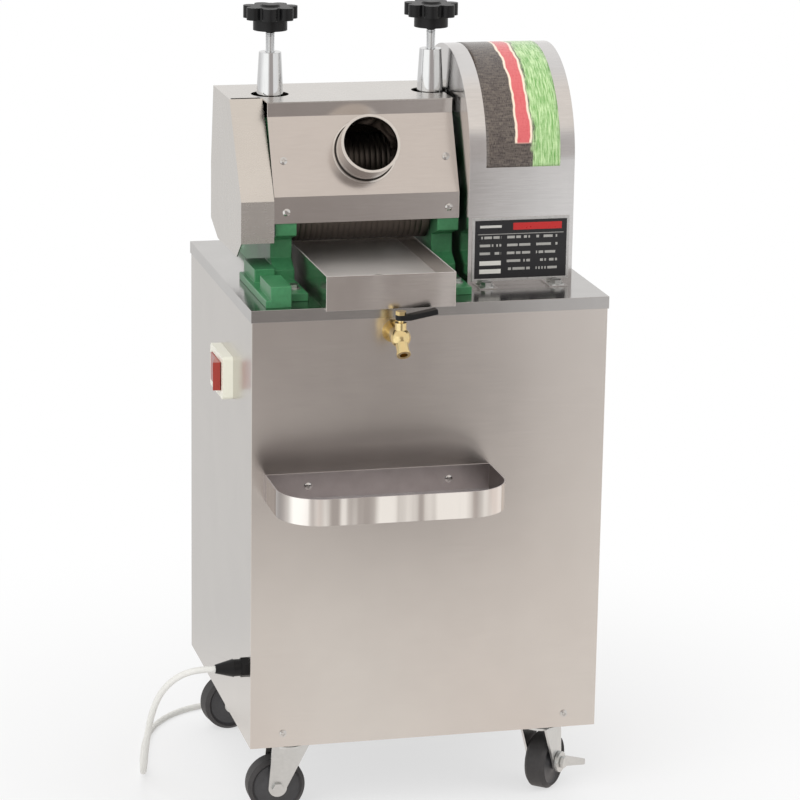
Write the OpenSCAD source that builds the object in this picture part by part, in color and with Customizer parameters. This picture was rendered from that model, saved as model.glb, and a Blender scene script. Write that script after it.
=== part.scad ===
// Electric sugarcane juicer: a three-roller mill on a wheeled stainless cabinet.
// Millimetres. X to the right, Y to the back, Z up; the floor is at zero height and the
// origin lies under the middle of the whole machine, cord apart.

/* [Cabinet] */
// Width of the cabinet's lid
cab_w = 380; // [370:1:460]
// Depth of the cabinet's lid
cab_d = 344; // [340:1:400]
// Height of the cabinet, without its casters
cab_h = 473; // [440:1:560]
// Thickness of the stainless sheet
sheet = 1.2; // [1:0.1:1.5]
// Height of the lid's folded lip
lip_h = 13; // [8:1:20]
// Thickness of the cabinet's floor plate
base_t = 3; // [2:0.5:5]

/* [Casters] */
// Height from the floor to the cabinet's underside
ground = 86; // [82:1:110]
// Diameter of a caster wheel
wheel_d = 62; // [50:1:65]
// Width of a caster wheel
wheel_w = 24; // [18:1:28]
// Distance from the swivel axis to the axle
trail = 14; // [10:1:18]
// Distance of each swivel axis from the cabinet's sides
caster_in_x = 50; // [48:1:60]
// Distance of each swivel axis from the cabinet's front and back
caster_in_y = 40; // [36:1:50]

/* [Mill] */
// Distance of the mill's middle from the cabinet's middle, to the left
mill_off = 47.5; // [30:0.5:54]
// Distance of the top roller's axis behind the cabinet's front
mill_y = 180; // [165:1:195]
// Height of the top roller's axis above the lid
top_axis = 118; // [114:1:135]
// Distance between the two mill frames' middles
frame_span = 174; // [150:1:180]
// Thickness of a mill frame
frame_t = 23; // [18:1:26]
// Gap between the top roller and each lower roller
roller_gap = 2; // [1:0.5:6]
// Module of the roller gears
gear_m = 4; // [3.8:0.1:4.3]
// Distance between the two lower rollers' axes
lower_gap = 70; // [68:0.5:76]

/* [Feed] */
// Outer diameter of the feed tube
tube_d = 63; // [50:1:66]
// Wall of the feed tube
tube_wall = 3; // [1.5:0.1:4]
// Length of the feed tube
tube_len = 32; // [28:1:60]

/* [Pressure screws] */
// Diameter of the threaded rod
screw_d = 10; // [8:1:10]
// Pitch of the thread
screw_pitch = 1.5; // [1.25:0.25:1.5]
// Diameter over the lobes of the star knob
knob_d = 58; // [48:1:64]
// Height of the knob's lobed part
knob_h = 13; // [10:1:16]

/* [Juice and cups] */
// Gap between the juice tray and each mill frame
tray_side = 7.5; // [2:0.5:16]
// Height of the juice tray
tray_h = 36; // [26:1:39]
// Overhang of the juice tray past the cabinet's front
tray_out = 15; // [10:1:20]
// Width of the cup shelf
shelf_w = 240; // [200:1:250]
// Reach of the cup shelf past the cabinet's front
shelf_out = 97; // [90:1:120]
// Height of the cup shelf's rim
shelf_h = 28; // [20:1:36]
// Depth of the cup shelf's rim below the lid
shelf_drop = 174; // [150:1:240]

/* [Gear guard] */
// Width of the gear guard
guard_w = 114; // [90:1:120]
// Room between the driven pulley and the guard's outside
guard_room = 15; // [8:1:20]
// Radius of the pulley on the top roller's shaft
driven_r = 95; // [80:1:98]
// Radius of the pulley on the gearbox
drive_r = 38; // [30:1:45]

/* [Switch and cord] */
// Length of the switch box along the cabinet's side
switch_l = 70; // [60:1:80]
// Height of the switch box
switch_h = 46; // [40:1:56]
// Length of the cable gland
gland_l = 34; // [30:1:40]
// Diameter of the mains cord
cord_d = 7; // [6:0.5:7]

/* [Hidden] */
$fn = 64;
// Overrun of every cut past the face that it opens
over = 1;
// Clearance between loose pieces, radial clearance of a running fit
clear = 0.4;
run_fit = 0.05;

// Cabinet levels and faces, in cabinet coordinates: middle, front of the lid, floor
cab_top = ground + cab_h;
half_w = cab_w / 2;
side_out = half_w - sheet;
side_in = side_out - sheet;
front_in = 2 * sheet;
back_out = cab_d - sheet;
back_in = back_out - sheet;
roof = cab_top - sheet;
floor_top = ground + base_t;
// Width of the folded edges inside the side panels
fold = 14;

// Screw heads
head_r = 4;
head_h = 1.8;
head_slot = 1.2;
bolt_r = 6;
bolt_h = 5;
bolt_washer_r = 8;
bolt_washer_h = 1.2;
// Front panel screws: distance from its sides and its foot
front_screw_in = 35;
front_screw_up = 15;
// Back panel screws: distance from its edges
back_screw_in = 12;

// Vents in the back and right panels
vent_l = 60;
vent_h = 6;
vent_step = 18;
vent_rows = 6;
vent_up = 90;
vent_gap = 20;

// Frame of the whole machine: what reaches furthest on each side
cab_x = (gland_l - sheet) / 2;
cab_y = (shelf_out - back_out - head_h) / 2;

// Mill axes
mill_x = -mill_off;
gear_teeth = 15;
pitch_r = gear_m * gear_teeth / 2;
lower_half = lower_gap / 2;
top_z = cab_top + top_axis;
lower_z = top_z - sqrt(4 * pitch_r * pitch_r - lower_half * lower_half);
roller_r = pitch_r - roller_gap / 2;
frame_in = (frame_span - frame_t) / 2;
frame_out = (frame_span + frame_t) / 2;
roller_end_gap = 2.5;
roller_half = frame_in - roller_end_gap;
journal_r = 11;
journal_out = 8;
shaft_r = 12;
bush_t = 5;
groove_step = 6;
groove_w = 2;
groove_depth = 0.6;

// Bearing window of a mill frame, measured from the top axis
block_half = 26;
block_down = 24;
block_up = 24;
window_up = 36;
bridge_up = 50;
pad_gap = 3;
pad_t = 4;
pad_half = 20;
pad_rim = 1.5;

// Feed plate: its bends and lower edge, measured from the top roller's axis
feed_top_fore = 51;
feed_run = 37;
feed_bend_rise = 57.5;
feed_bend_drop = 20.5;
feed_edge_drop = 48.5;
feed_top_y = mill_y - feed_top_fore;
feed_low_y = feed_top_y - feed_run;
feed_bend_top = top_axis + feed_bend_rise;
feed_bend_low = top_axis - feed_bend_drop;
feed_edge_low = top_axis - feed_edge_drop;
feed_drop = feed_bend_top - feed_bend_low;
feed_slant = norm([feed_run, feed_drop]);
feed_tilt = atan2(feed_drop, feed_run);
function feed_face(up) = feed_top_y - (feed_bend_top - up) * feed_run / feed_drop;
function feed_back(up) = feed_face(up) + sheet * feed_slant / feed_drop;
// Middle of the feed tube's root
tube_rise = 21.5;
tube_up = top_axis + tube_rise;
tube_y = feed_face(tube_up);
tube_r = tube_d / 2;
collar_w = 3;
collar_h = 2;
feed_screw_rise = 14.5;
feed_screw_drop = 36.5;
feed_screw_up = top_axis + feed_screw_rise;
feed_screw_low = top_axis - feed_screw_drop;

// Mill frame outline: half lengths from the mill's middle and heights above the lid
foot_half = 146;
foot_h = 8;
heel_half = 78;
heel_h = 18;
waist_half = 62;
waist_low = 28;
waist_high = 48;
shoulder_low = 56;
frame_relief = 1.5;
shoulder_half = mill_y - feed_low_y - sheet;
shoulder_high = feed_bend_low - frame_relief;
crown_half = mill_y - feed_back(top_axis + window_up) - frame_relief;
bridge_half = mill_y - feed_back(top_axis + bridge_up) - frame_relief;
foot_flange = 27;
foot_bolt_in = 24;
// Lugs on the left frame's flange, and how far the first stays from the lid's front edge
lug_w = 22;
lug_l = 56;
lug_h = 22;
lug_edge = 8;
lug_pitch = 84;
boss_t = 5;
boss_w = 6;

// Roller cover: how far its left end stands out from the left frame, and that end's profile
cover_stand = 37;
cover_gap = 2;
cover_left = frame_out + cover_stand;
cover_wrap = cover_stand - cover_gap;
cover_top_fore = 27;
cover_low_fore = 91.5;
cover_top_aft = 63;
cover_low_aft = 76;
cover_heel_aft = 36;
cover_toe_fore = 68;
cover_rise = 73;
cover_bend_drop = 24;
cover_back_drop = 11;
cover_open_rise = 10;
cover_low_drop = 68;
cover_back_low_drop = 73;
cover_heel_drop = 88;
cover_toe_drop = 86;
cover_front_top = mill_y - cover_top_fore;
cover_front_low = mill_y - cover_low_fore;
cover_back_top = mill_y + cover_top_aft;
cover_back = mill_y + cover_low_aft;
cover_heel_y = mill_y + cover_heel_aft;
cover_toe_y = mill_y - cover_toe_fore;
cover_up = top_axis + cover_rise;
cover_bend = top_axis - cover_bend_drop;
cover_back_bend = top_axis - cover_back_drop;
cover_back_open = top_axis + cover_open_rise;
cover_low = top_axis - cover_low_drop;
cover_back_low = top_axis - cover_back_low_drop;
cover_heel_up = top_axis - cover_heel_drop;
cover_toe_up = top_axis - cover_toe_drop;
cover_slot_y = 6;
cover_slot_in = 2;
cover_lap = 2;

// Pressure sleeves and screws
sleeve_base_r = 15.4;
sleeve_top_r = 11.75;
sleeve_rise = 118;
sleeve_hole_gap = 4.6;
sleeve_hole_r = sleeve_base_r + sleeve_hole_gap;
sleeve_up = top_axis + sleeve_rise;
knob_gap = 23;
knob_hub_r = 18;
knob_hub_h = 12;
knob_hub_up = sleeve_up + knob_gap;
rod_in = 7;
rod_up = knob_hub_up + rod_in;
knob_lobes = 7;
knob_lobe_r = 8;
knob_crown_r = 11;
knob_crown_h = 2;
thread_depth = 0.9;

// Gear guard and drive, along X from the guard's left face
guard_gap = 4.5;
guard_x = mill_x + frame_out + guard_gap;
guard_r = driven_r + guard_room;
guard_rise = 12;
guard_up = top_axis + guard_rise;
guard_tab_w = 20;
guard_tab_out = 16;
guard_tab_in = 9;
gear_gap = 4;
gear_x = guard_x + sheet + gear_gap;
gear_w = 26;
gear_add = 3;
gear_root_clear = 1;
gear_backlash = 0.8;
gear_pressure = 20;
gear_hub_r = 20;
gear_hub_h = 4;
pulley_gap = 12;
pulley_w = 20;
pulley_x = gear_x + gear_w + pulley_gap;
belt_x = pulley_x + pulley_w / 2;
groove_top = 14;
groove_root = 8;
groove_deep = 12;
belt_w = 8.6;
belt_t = 8;
belt_proud = 1;
rim_t = 6;
web_t = 7;
hub_r = 24;
web_hole_r = 13;
web_holes = 6;
belt_slot_in = 3;
belt_slot_gap = 2;
belt_slot_half = driven_r - belt_slot_in;
belt_slot_w = pulley_w + 2 * belt_slot_gap;
drive_rise = 78;
drive_z = floor_top + drive_rise;
drive_bore = 30;

// Nameplate
plate_in = 4;
plate_w = guard_w - 2 * plate_in;
plate_h = 68;
plate_t = 1;
plate_up = 5;
plate_rim = 3;
plate_step = 0.4;

// Motor and gearbox
box_w = 84;
box_l = 120;
box_h = 126;
box_foot_h = 14;
box_flange = 20;
box_foot_l = box_l + 2 * box_flange;
box_gap = 6;
box_x = pulley_x - box_gap - box_w;
motor_r = 62;
motor_l = 118;
motor_fin_h = 5;
motor_fin_w = 3;
motor_fins = 18;
motor_bell_r = 56;
motor_bell_l = 20;
motor_fan_r = 58;
motor_fan_l = 30;
motor_box_w = 60;
motor_box_h = 34;

// Juice tray and drain
tray_aft = 55;
// Height of the tray's floor above the lid, on a skirt
tray_floor = 17;
tray_back = mill_y + tray_aft;
tray_w = 2 * (frame_in - tray_side);
drain_y = 60;
// The tap and drain stand a little to the right of the mill's middle
tap_aside = 6.5;
tap_x = mill_x + tap_aside;
drain_r = 9;
drain_bore = 7;
shank_r = 9;
shank_in = 20;
shank_nut_r = 14;
shank_nut_h = 5;
tap_washer_r = 12;
tap_washer_t = 1.5;
tap_lip_gap = 2;
tap_z = cab_top - lip_h - tap_lip_gap - tap_washer_r;
tap_flange_r = 11;
tap_flange_t = 4;
tap_pipe_r = 8;
ball_y = 30;
ball_r = 10.5;
bonnet_r = 6;
bonnet_h = 16;
stem_r = 3;
stem_up = 24;
stem_in = 8;
nut_r = 5.5;
nut_h = 4;
nozzle_r = 6.5;
nozzle_bore = 4;
nozzle_l = 21;
nozzle_tilt = 45;
bead_r = 7.2;
bead_l = 3;
lever_w = 11;
lever_t = 5.5;
lever_l = 38.5;
lever_rise = 5.5;
lever_flat = 9;

// Cup shelf
shelf_r = 45;
shelf_aside = 7;
shelf_x = mill_x - shelf_aside;
shelf_top = cab_top - shelf_drop;

// Switch box, rocker
switch_y = 100;
switch_drop = 73;
switch_out = 11;
switch_r = 4;
pocket_rim_l = 8;
pocket_rim_h = 7.5;
pocket_l = switch_l - 2 * pocket_rim_l;
pocket_h = switch_h - 2 * pocket_rim_h;
pocket_deep = 9;
rocker_gap = 3;
rocker_half = pocket_l / 2 - rocker_gap;
rocker_tilt = 8;
rocker_foot = 3;
rocker_tip = 5;
rocker_mid = 1.6;
rocker_pin_r = 1.5;
rocker_pin_in = 2.5;

// Cable gland, height below the lid
gland_y = 20;
gland_drop = 388;
gland_z = cab_top - gland_drop;
gland_hex_r = 11;
gland_hex_l = 7;
gland_neck_r = 9;
gland_neck_l = 8;
gland_dome_r = 9.6;
gland_lip = 1.2;
gland_thread_r = 8;
gland_thread_l = 9;
gland_nut_r = 12;
gland_nut_l = 4;

// Caster parts
plate_half = 28;
caster_t = 2.5;
race_r = 19;
race_h = 5.5;
fork_r = 20;
fork_t = 2.5;
fork_gap = 1.2;
fork_drop = 0.3;
king_r = 5;
king_h = 6;
axle_r = 4;
axle_nut_r = 6.5;
axle_nut_h = 4;
fork_boss = 10;
wheel_r = wheel_d / 2;
hub_face_r = 17;
hub_dish = 3;
tread_round = 4;
tyre_side = wheel_r - tread_round;
tyre_in = tyre_side - hub_dish;
race_low = ground - caster_t - race_h;
fork_top = race_low - fork_drop;
fork_y = wheel_w / 2 + fork_gap;
brake_r = 11.5;
brake_t = 4;
brake_lever_t = 2.5;
brake_flat = 13;
brake_reach = 35;
brake_out = 15;
brake_drop = 9;
brake_root_h = 16;
brake_tip_h = 7;
caster_bolt_in = 8;
caster_bolt_r = 4;
caster_bolt_h = 3.5;
// Left and right, front and back, and the way each caster trails
caster_turns = [180, 50, 190, 205];
caster_x = half_w - caster_in_x;
caster_places = [[-caster_x, caster_in_y], [caster_x, caster_in_y],
    [-caster_x, cab_d - caster_in_y], [caster_x, cab_d - caster_in_y]];

// Bagasse chute behind the rollers
chute_gap = 3;
chute_side = 0.3;
chute_rise = 12.7;
chute_fall = 38;
chute_top = lower_z - cab_top + chute_rise;
chute_low = chute_top - chute_fall;
chute_out = 84;
chute_rim = 12;

// Cord: free stretch from the gland to the coil, and the coil behind the cabinet
cord_r = cord_d / 2;
cord_sides = 10;
floor_gap = 0.1;
lie = cord_r + floor_gap;
gland_tip = [cab_x - side_out - gland_l, cab_y + gland_y, gland_z];
coil_mid = [-40, 296];
coil_r = 50;
coil_step = 8;
coil_turns = 2.5;
coil_rings = 24;
coil_sides = 6;
coil_lift = 8.4;
plug_tail = 14;
cord_route = concat([gland_tip], [[-222, gland_tip[1], gland_z]], [
    [-236, -102, 168], [-249, -98, 160], [-259, -91, 147], [-265, -81, 130],
    [-268, -69, 111], [-269, -56, 91], [-269, -42, 71], [-268, -27, 52],
    [-266, -10, 35], [-264, 8, 21], [-261, 27, 11.5], [-258, 46, 6],
    [-255, 65, lie], [-252, 84, lie], [-248, 103, lie], [-244, 122, lie],
    [-239, 141, lie], [-233, 160, lie], [-225, 178, lie], [-215, 195, lie],
    [-203, 210, lie], [-189, 223, lie], [-173, 233, lie], [-155, 240, lie],
    [-136, 244, lie], [-117, 246, lie], [-98, 246, lie], [-79, 246, lie],
    [-60, 246, lie]],
    [[coil_mid[0], coil_mid[1] - coil_r, lie]]);

// Mains plug beside the coil
plug_l = 36;
plug_r = coil_lift + lie - floor_gap;
plug_wide = 4;
plug_grip_l = 24;
plug_boot = 1;
plug_grip_r = 7;
pin_l = 18;
pin_r = 2.4;
pin_half = 9.5;

// Helpers

// Cabinet coordinates: middle of the cabinet, front face of its lid, floor
module at_cab() { translate([cab_x, cab_y, 0]) children(); }

// Mill coordinates: middle of the mill, top of the lid
module at_mill() { at_cab() translate([mill_x, mill_y, cab_top]) children(); }

// Box between two corners
module box(low, high) { translate(low) cube(high - low); }

// Outline in depth and height, drawn out along X
module along_x(x0, width) {
    translate([x0, 0, 0]) rotate([90, 0, 90]) linear_extrude(width) children();
}

// Outline in width and height, drawn out along Y
module along_y(y0, depth) {
    translate([0, y0 + depth, 0]) rotate([90, 0, 0]) linear_extrude(depth) children();
}

// Round bars along each axis
module rod_x(r, x0, x1, y, z) {
    translate([x0, y, z]) rotate([0, 90, 0]) cylinder(r = r, h = x1 - x0);
}
module rod_y(r, y0, y1, x, z) {
    translate([x, y0, z]) rotate([-90, 0, 0]) cylinder(r = r, h = y1 - y0);
}
module rod_z(r, z0, z1, x, y) {
    translate([x, y, z0]) cylinder(r = r, h = z1 - z0);
}

// Centred rectangle with round corners
module round_rect(w, h, r) {
    square([w - 2 * r, h], center = true);
    square([w, h - 2 * r], center = true);
    for (x = [-1, 1], y = [-1, 1]) translate([x * (w / 2 - r), y * (h / 2 - r)]) circle(r);
}

// Outline of a sheet folded along an open path, thick to the path's left
function unit(v) = v / norm(v);
function left_of(v) = [-v[1], v[0]];
function run_in(p, i) = unit(i > 0 ? p[i] - p[i - 1] : p[1] - p[0]);
function run_out(p, i) = unit(i < len(p) - 1 ? p[i + 1] - p[i] : p[i] - p[i - 1]);
function miter(p, i, t) = let (a = left_of(run_in(p, i)), b = left_of(run_out(p, i)))
    p[i] + (a + b) * t / (1 + a * b);
function folded(p, t) = concat(p, [for (i = [len(p) - 1 : -1 : 0]) miter(p, i, t)]);

// Round tube swept along points, closed at both ends
function along(p, i) = unit(p[min(i + 1, len(p) - 1)] - p[max(i - 1, 0)]);
function ring(p, i, r, sides) = let (t = along(p, i), s = unit(cross(t, [0, 0, 1])), u = cross(s, t))
    [for (k = [0 : sides - 1]) p[i] + r * (cos(360 * k / sides) * s + sin(360 * k / sides) * u)];
module swept(p, r, sides) {
    points = [for (i = [0 : len(p) - 1]) each ring(p, i, r, sides)];
    walls = [for (i = [0 : len(p) - 2], k = [0 : sides - 1]) let (a = i * sides + k,
        b = i * sides + (k + 1) % sides) each [[a, a + sides, b], [b, a + sides, b + sides]]];
    first = [for (k = [1 : sides - 2]) [0, k, k + 1]];
    last_ring = (len(p) - 1) * sides;
    last = [for (k = [1 : sides - 2]) [last_ring, last_ring + k + 1, last_ring + k]];
    polyhedron(points, concat(walls, first, last));
}

// Screw head with a cross slot, standing on a face that looks up
module pan_head() {
    difference() {
        union() {
            cylinder(r = head_r, h = head_h / 2);
            translate([0, 0, head_h / 2]) cylinder(r1 = head_r, r2 = head_r / 2, h = head_h / 2);
        }
        for (a = [0, 90]) rotate(a)
            box([-head_r / 2, -head_slot / 2, head_h / 2], [head_r / 2, head_slot / 2, head_h + over]);
    }
}

// Hexagon bolt head on its washer, standing on a face that looks up
module bolt_head(r, h) {
    cylinder(r = r * bolt_washer_r / bolt_r, h = bolt_washer_h);
    translate([0, 0, bolt_washer_h]) cylinder(r = r, h = h - bolt_washer_h, $fn = 6);
}

// Cabinet

module base_plate() {
    color("silver") at_cab()
        box([-side_in, front_in + sheet, ground], [side_in, back_in - sheet, floor_top]);
}

// Rows of vent slots, centred, in the outline's own plane
module vents(columns) {
    for (c = [0 : columns - 1], r = [0 : vent_rows - 1])
        translate([(c - (columns - 1) / 2) * (vent_l + vent_gap), r * vent_step])
            square([vent_l, vent_h], center = true);
}

// Left side panel with its folded edges
module side_sheet() {
    box([-side_out, front_in, ground], [-side_in, back_in, roof]);
    box([-side_in, front_in, ground], [fold - side_in, front_in + sheet, roof]);
    box([-side_in, back_in - sheet, ground], [fold - side_in, back_in, roof]);
}

module left_side_panel() {
    color("lightgray") at_cab() difference() {
        side_sheet();
        rod_x(gland_thread_r + clear, -side_out - over, -side_in + over, gland_y, gland_z);
    }
}

module right_side_panel() {
    color("lightgray") at_cab() difference() {
        mirror([1, 0, 0]) side_sheet();
        along_x(side_in - over, sheet + 2 * over) translate([cab_d / 2, ground + vent_up]) vents(2);
    }
}

module front_panel() {
    color("silver") at_cab() difference() {
        box([-side_out, sheet, ground], [side_out, front_in, roof]);
        rod_y(shank_r + clear, sheet - over, front_in + over, tap_x, tap_z);
    }
}

module back_panel() {
    color("silver") at_cab() difference() {
        box([-side_out, back_in, ground], [side_out, back_out, roof]);
        along_y(back_in - over, sheet + 2 * over) translate([0, ground + vent_up]) vents(3);
    }
}

module top_plate() {
    color("gainsboro") at_cab() difference() {
        box([-half_w, 0, cab_top - lip_h], [half_w, cab_d, cab_top]);
        box([-side_out, sheet, cab_top - lip_h - over], [side_out, back_out, roof]);
        box([belt_x - belt_slot_w / 2, mill_y - belt_slot_half, roof - over],
            [belt_x + belt_slot_w / 2, mill_y + belt_slot_half, cab_top + over]);
        rod_z(drain_r + clear, roof - over, cab_top + over, tap_x, drain_y);
    }
}

// Fasteners

// Middles of the two mill frames along X
frame_xs = [mill_x - frame_span / 2, mill_x + frame_span / 2];

back_screw_zs = [ground + back_screw_in, (ground + roof) / 2, cab_top - lip_h - back_screw_in];

module panel_screws() {
    color("silver") at_cab() {
        for (s = [-1, 1])
            translate([s * (side_out - front_screw_in), sheet, ground + front_screw_up])
                rotate([90, 0, 0]) pan_head();
        for (s = [-1, 1], z = back_screw_zs)
            translate([s * (side_out - back_screw_in), back_out, z]) rotate([-90, 0, 0]) pan_head();
        for (x = frame_xs) {
            translate([x, feed_low_y, cab_top + feed_screw_low]) rotate([90, 0, 0]) pan_head();
            translate([x, feed_face(feed_screw_up), cab_top + feed_screw_up])
                rotate([feed_tilt, 0, 0]) pan_head();
        }
        for (s = [-1, 1])
            translate([shelf_x + s * (shelf_w / 2 - shelf_r), 0, shelf_top - shelf_h / 2])
                rotate([90, 0, 0]) pan_head();
    }
}

// Bolt places on the guard's feet, along X and Y
guard_tab_xs = [guard_x + guard_tab_in + guard_tab_w / 2,
    guard_x + guard_w - guard_tab_in - guard_tab_w / 2];
guard_bolt_ys = [mill_y - guard_r - guard_tab_out / 2, mill_y + guard_r + guard_tab_out / 2];
// Bolt places on one caster plate and on the gearbox's foot, from their middles
caster_bolt = plate_half - caster_bolt_in;
box_bolt = [box_w / 4, (box_l + box_flange) / 2];

module hex_bolts() {
    color("whitesmoke") at_cab() {
        for (x = guard_tab_xs, y = guard_bolt_ys)
            translate([x, y, cab_top + sheet]) bolt_head(bolt_r, bolt_h);
        for (x = frame_xs, s = [-1, 1])
            translate([x, mill_y + s * (foot_half - foot_bolt_in), cab_top + foot_h])
                bolt_head(bolt_r, bolt_h);
        for (p = caster_places, x = [-1, 1], y = [-1, 1])
            translate([p[0] + x * caster_bolt, p[1] + y * caster_bolt, ground - caster_t])
                mirror([0, 0, 1]) bolt_head(caster_bolt_r, caster_bolt_h);
        for (x = [-1, 1], s = [-1, 1])
            translate([box_x + box_w / 2 + x * box_bolt[0], mill_y + s * box_bolt[1],
                floor_top + box_foot_h])
                bolt_head(bolt_r, bolt_h);
    }
}

// Cup shelf

module shelf_outline(inset) {
    w = shelf_w / 2 - inset;
    r = shelf_r - inset;
    front = -shelf_out + inset;
    back = sheet - inset;
    translate([-w, front + r]) square([2 * w, back - front - r]);
    translate([r - w, front]) square([2 * (w - r), r]);
    for (s = [-1, 1]) translate([s * (w - r), front + r]) circle(r);
}

module cup_shelf() {
    color("gainsboro") at_cab() translate([shelf_x, 0, shelf_top - shelf_h]) difference() {
        linear_extrude(shelf_h) shelf_outline(0);
        translate([0, 0, sheet]) linear_extrude(shelf_h) shelf_outline(sheet);
    }
}

// Switch

switch_mid = [switch_y + switch_l / 2, cab_top - switch_drop - switch_h / 2];
rocker_pivot = [-side_out - switch_out + rocker_foot, switch_mid[0], switch_mid[1]];
rocker_pin_half = pocket_h / 2 + rocker_pin_in;

module switch_box() {
    color("ivory") at_cab() difference() {
        along_x(-side_out - switch_out, switch_out) translate(switch_mid)
            round_rect(switch_l, switch_h, switch_r);
        along_x(-side_out - switch_out - over, pocket_deep + over) translate(switch_mid)
            square([pocket_l, pocket_h], center = true);
        translate(rocker_pivot)
            rod_z(rocker_pin_r + run_fit, -rocker_pin_half - clear, rocker_pin_half + clear, 0, 0);
    }
}

// Rocker on its trunnions: ends that stand up either side of a low middle
module rocker() {
    tip = -rocker_foot - rocker_tip;
    color("firebrick") at_cab() translate(rocker_pivot) rotate([0, 0, -rocker_tilt]) {
        translate([0, 0, clear - pocket_h / 2]) linear_extrude(pocket_h - 2 * clear)
            polygon([[0, -rocker_half], [0, rocker_half], [tip, rocker_half],
                [-rocker_foot - rocker_mid, 0], [tip, -rocker_half]]);
        rod_z(rocker_pin_r, -rocker_pin_half, rocker_pin_half, 0, 0);
    }
}

// Cord

module cable_gland() {
    face = -side_out;
    hex_end = face - gland_hex_l;
    neck_end = hex_end - gland_neck_l;
    tip = face - gland_l;
    color("dimgray") at_cab() {
        translate([hex_end, gland_y, gland_z]) rotate([0, 90, 0])
            cylinder(r = gland_hex_r, h = gland_hex_l, $fn = 6);
        rod_x(gland_neck_r, neck_end, hex_end, gland_y, gland_z);
        translate([tip, gland_y, gland_z]) rotate([0, 90, 0])
            cylinder(r1 = cord_r + gland_lip, r2 = gland_dome_r, h = neck_end - tip);
        rod_x(gland_thread_r, face, gland_thread_l + face, gland_y, gland_z);
        translate([-side_in, gland_y, gland_z]) rotate([0, 90, 0])
            cylinder(r = gland_nut_r, h = gland_nut_l, $fn = 6);
    }
}

module power_cord() {
    color("whitesmoke") swept(cord_route, cord_r, cord_sides);
}

// Point of the coil after some turns: in on the floor, up where it reverses, out on top
climb_turns = 0.5;
all_turns = 2 * coil_turns + climb_turns;
function coil_reach(t) = let (up = t - coil_turns, back_t = up - climb_turns)
    t <= coil_turns ? coil_r - coil_step * t
    : back_t <= 0 ? coil_r - coil_step * (coil_turns + climb_turns / 2 - abs(up - climb_turns / 2))
    : coil_r - coil_step * (coil_turns - back_t);
function coil_height(t) = lie + coil_lift * min(max((t - coil_turns) / climb_turns, 0), 1);
function coil_point(t) = [coil_mid[0] + coil_reach(t) * cos(360 * t - 90),
    coil_mid[1] + coil_reach(t) * sin(360 * t - 90), coil_height(t)];
coil_end = coil_point(all_turns);
coil_way = unit(coil_end - coil_point(all_turns - 1 / coil_rings / 4));
plug_face = coil_end + plug_tail * coil_way;
coil_points = concat([for (i = [0 : all_turns * coil_rings]) coil_point(i / coil_rings)],
    [coil_end + plug_tail / 2 * coil_way, plug_face]);
// Least gap of the coil to itself, between points at least half a turn apart
coil_last = len(coil_points) - 1;
coil_self_gap = min([for (i = [0 : coil_last], j = [i + coil_rings / 2 : coil_last])
    norm(coil_points[i] - coil_points[j])]) - cord_d;
echo(coil_self_gap = coil_self_gap);

module cord_coil() {
    color("whitesmoke") swept(coil_points, cord_r, coil_sides);
}

module mains_plug() {
    end = plug_grip_l + plug_l;
    color("whitesmoke") translate(plug_face) rotate(atan2(coil_way[1], coil_way[0])) {
        along_x(plug_grip_l, plug_l) round_rect(2 * (plug_r + plug_wide), 2 * plug_r, plug_r - floor_gap);
        rotate([0, 90, 0]) cylinder(r1 = cord_r + plug_boot, r2 = plug_grip_r, h = plug_grip_l);
        for (s = [-1, 1]) rod_x(pin_r, end, end + pin_l, s * pin_half, 0);
    }
}

// Tap and drain

module tap_body() {
    color("goldenrod") at_cab() translate([tap_x, 0, tap_z]) difference() {
        union() {
            rod_y(shank_r, sheet, front_in + shank_in, 0, 0);
            translate([0, front_in, 0]) rotate([-90, 0, 0])
                cylinder(r = shank_nut_r, h = shank_nut_h, $fn = 6);
            rod_y(tap_washer_r, sheet - tap_washer_t, sheet, 0, 0);
            rod_y(tap_flange_r, sheet - tap_washer_t - tap_flange_t, sheet - tap_washer_t, 0, 0);
            rod_y(tap_pipe_r, -ball_y, sheet - tap_washer_t - tap_flange_t, 0, 0);
            translate([0, -ball_y, 0]) sphere(r = ball_r);
            rod_z(bonnet_r, 0, bonnet_h, 0, -ball_y);
            translate([0, -ball_y, 0]) rotate([90 + nozzle_tilt, 0, 0]) {
                cylinder(r = nozzle_r, h = nozzle_l);
                translate([0, 0, nozzle_l - bead_l]) cylinder(r = bead_r, h = bead_l);
            }
        }
        translate([0, -ball_y, 0]) rotate([90 + nozzle_tilt, 0, 0]) translate([0, 0, ball_r])
            cylinder(r = nozzle_bore, h = nozzle_l);
        rod_z(stem_r + run_fit, bonnet_h - stem_in - clear, bonnet_h + over, 0, -ball_y);
        rod_y(drain_bore, front_in + shank_nut_h, front_in + shank_in + over, 0, 0);
    }
}

module tap_stem() {
    color("goldenrod") at_cab() translate([tap_x, -ball_y, tap_z]) {
        rod_z(stem_r, bonnet_h - stem_in, stem_up, 0, 0);
        translate([0, 0, stem_up]) cylinder(r = nut_r, h = nut_h, $fn = 6);
    }
}

// Lever, closed along X: a flat eye round the stem, then a raised grip
module tap_lever() {
    eye = stem_up - lever_t;
    color("black") at_cab() translate([tap_x, -ball_y, tap_z]) difference() {
        union() {
            translate([0, 0, eye]) cylinder(r = lever_w / 2, h = lever_t);
            along_y(-lever_w / 2, lever_w) polygon(folded([[0, eye], [lever_flat, eye],
                [lever_l, eye + lever_rise]], lever_t));
        }
        rod_z(stem_r, eye - over, stem_up + over, 0, 0);
    }
}

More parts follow.
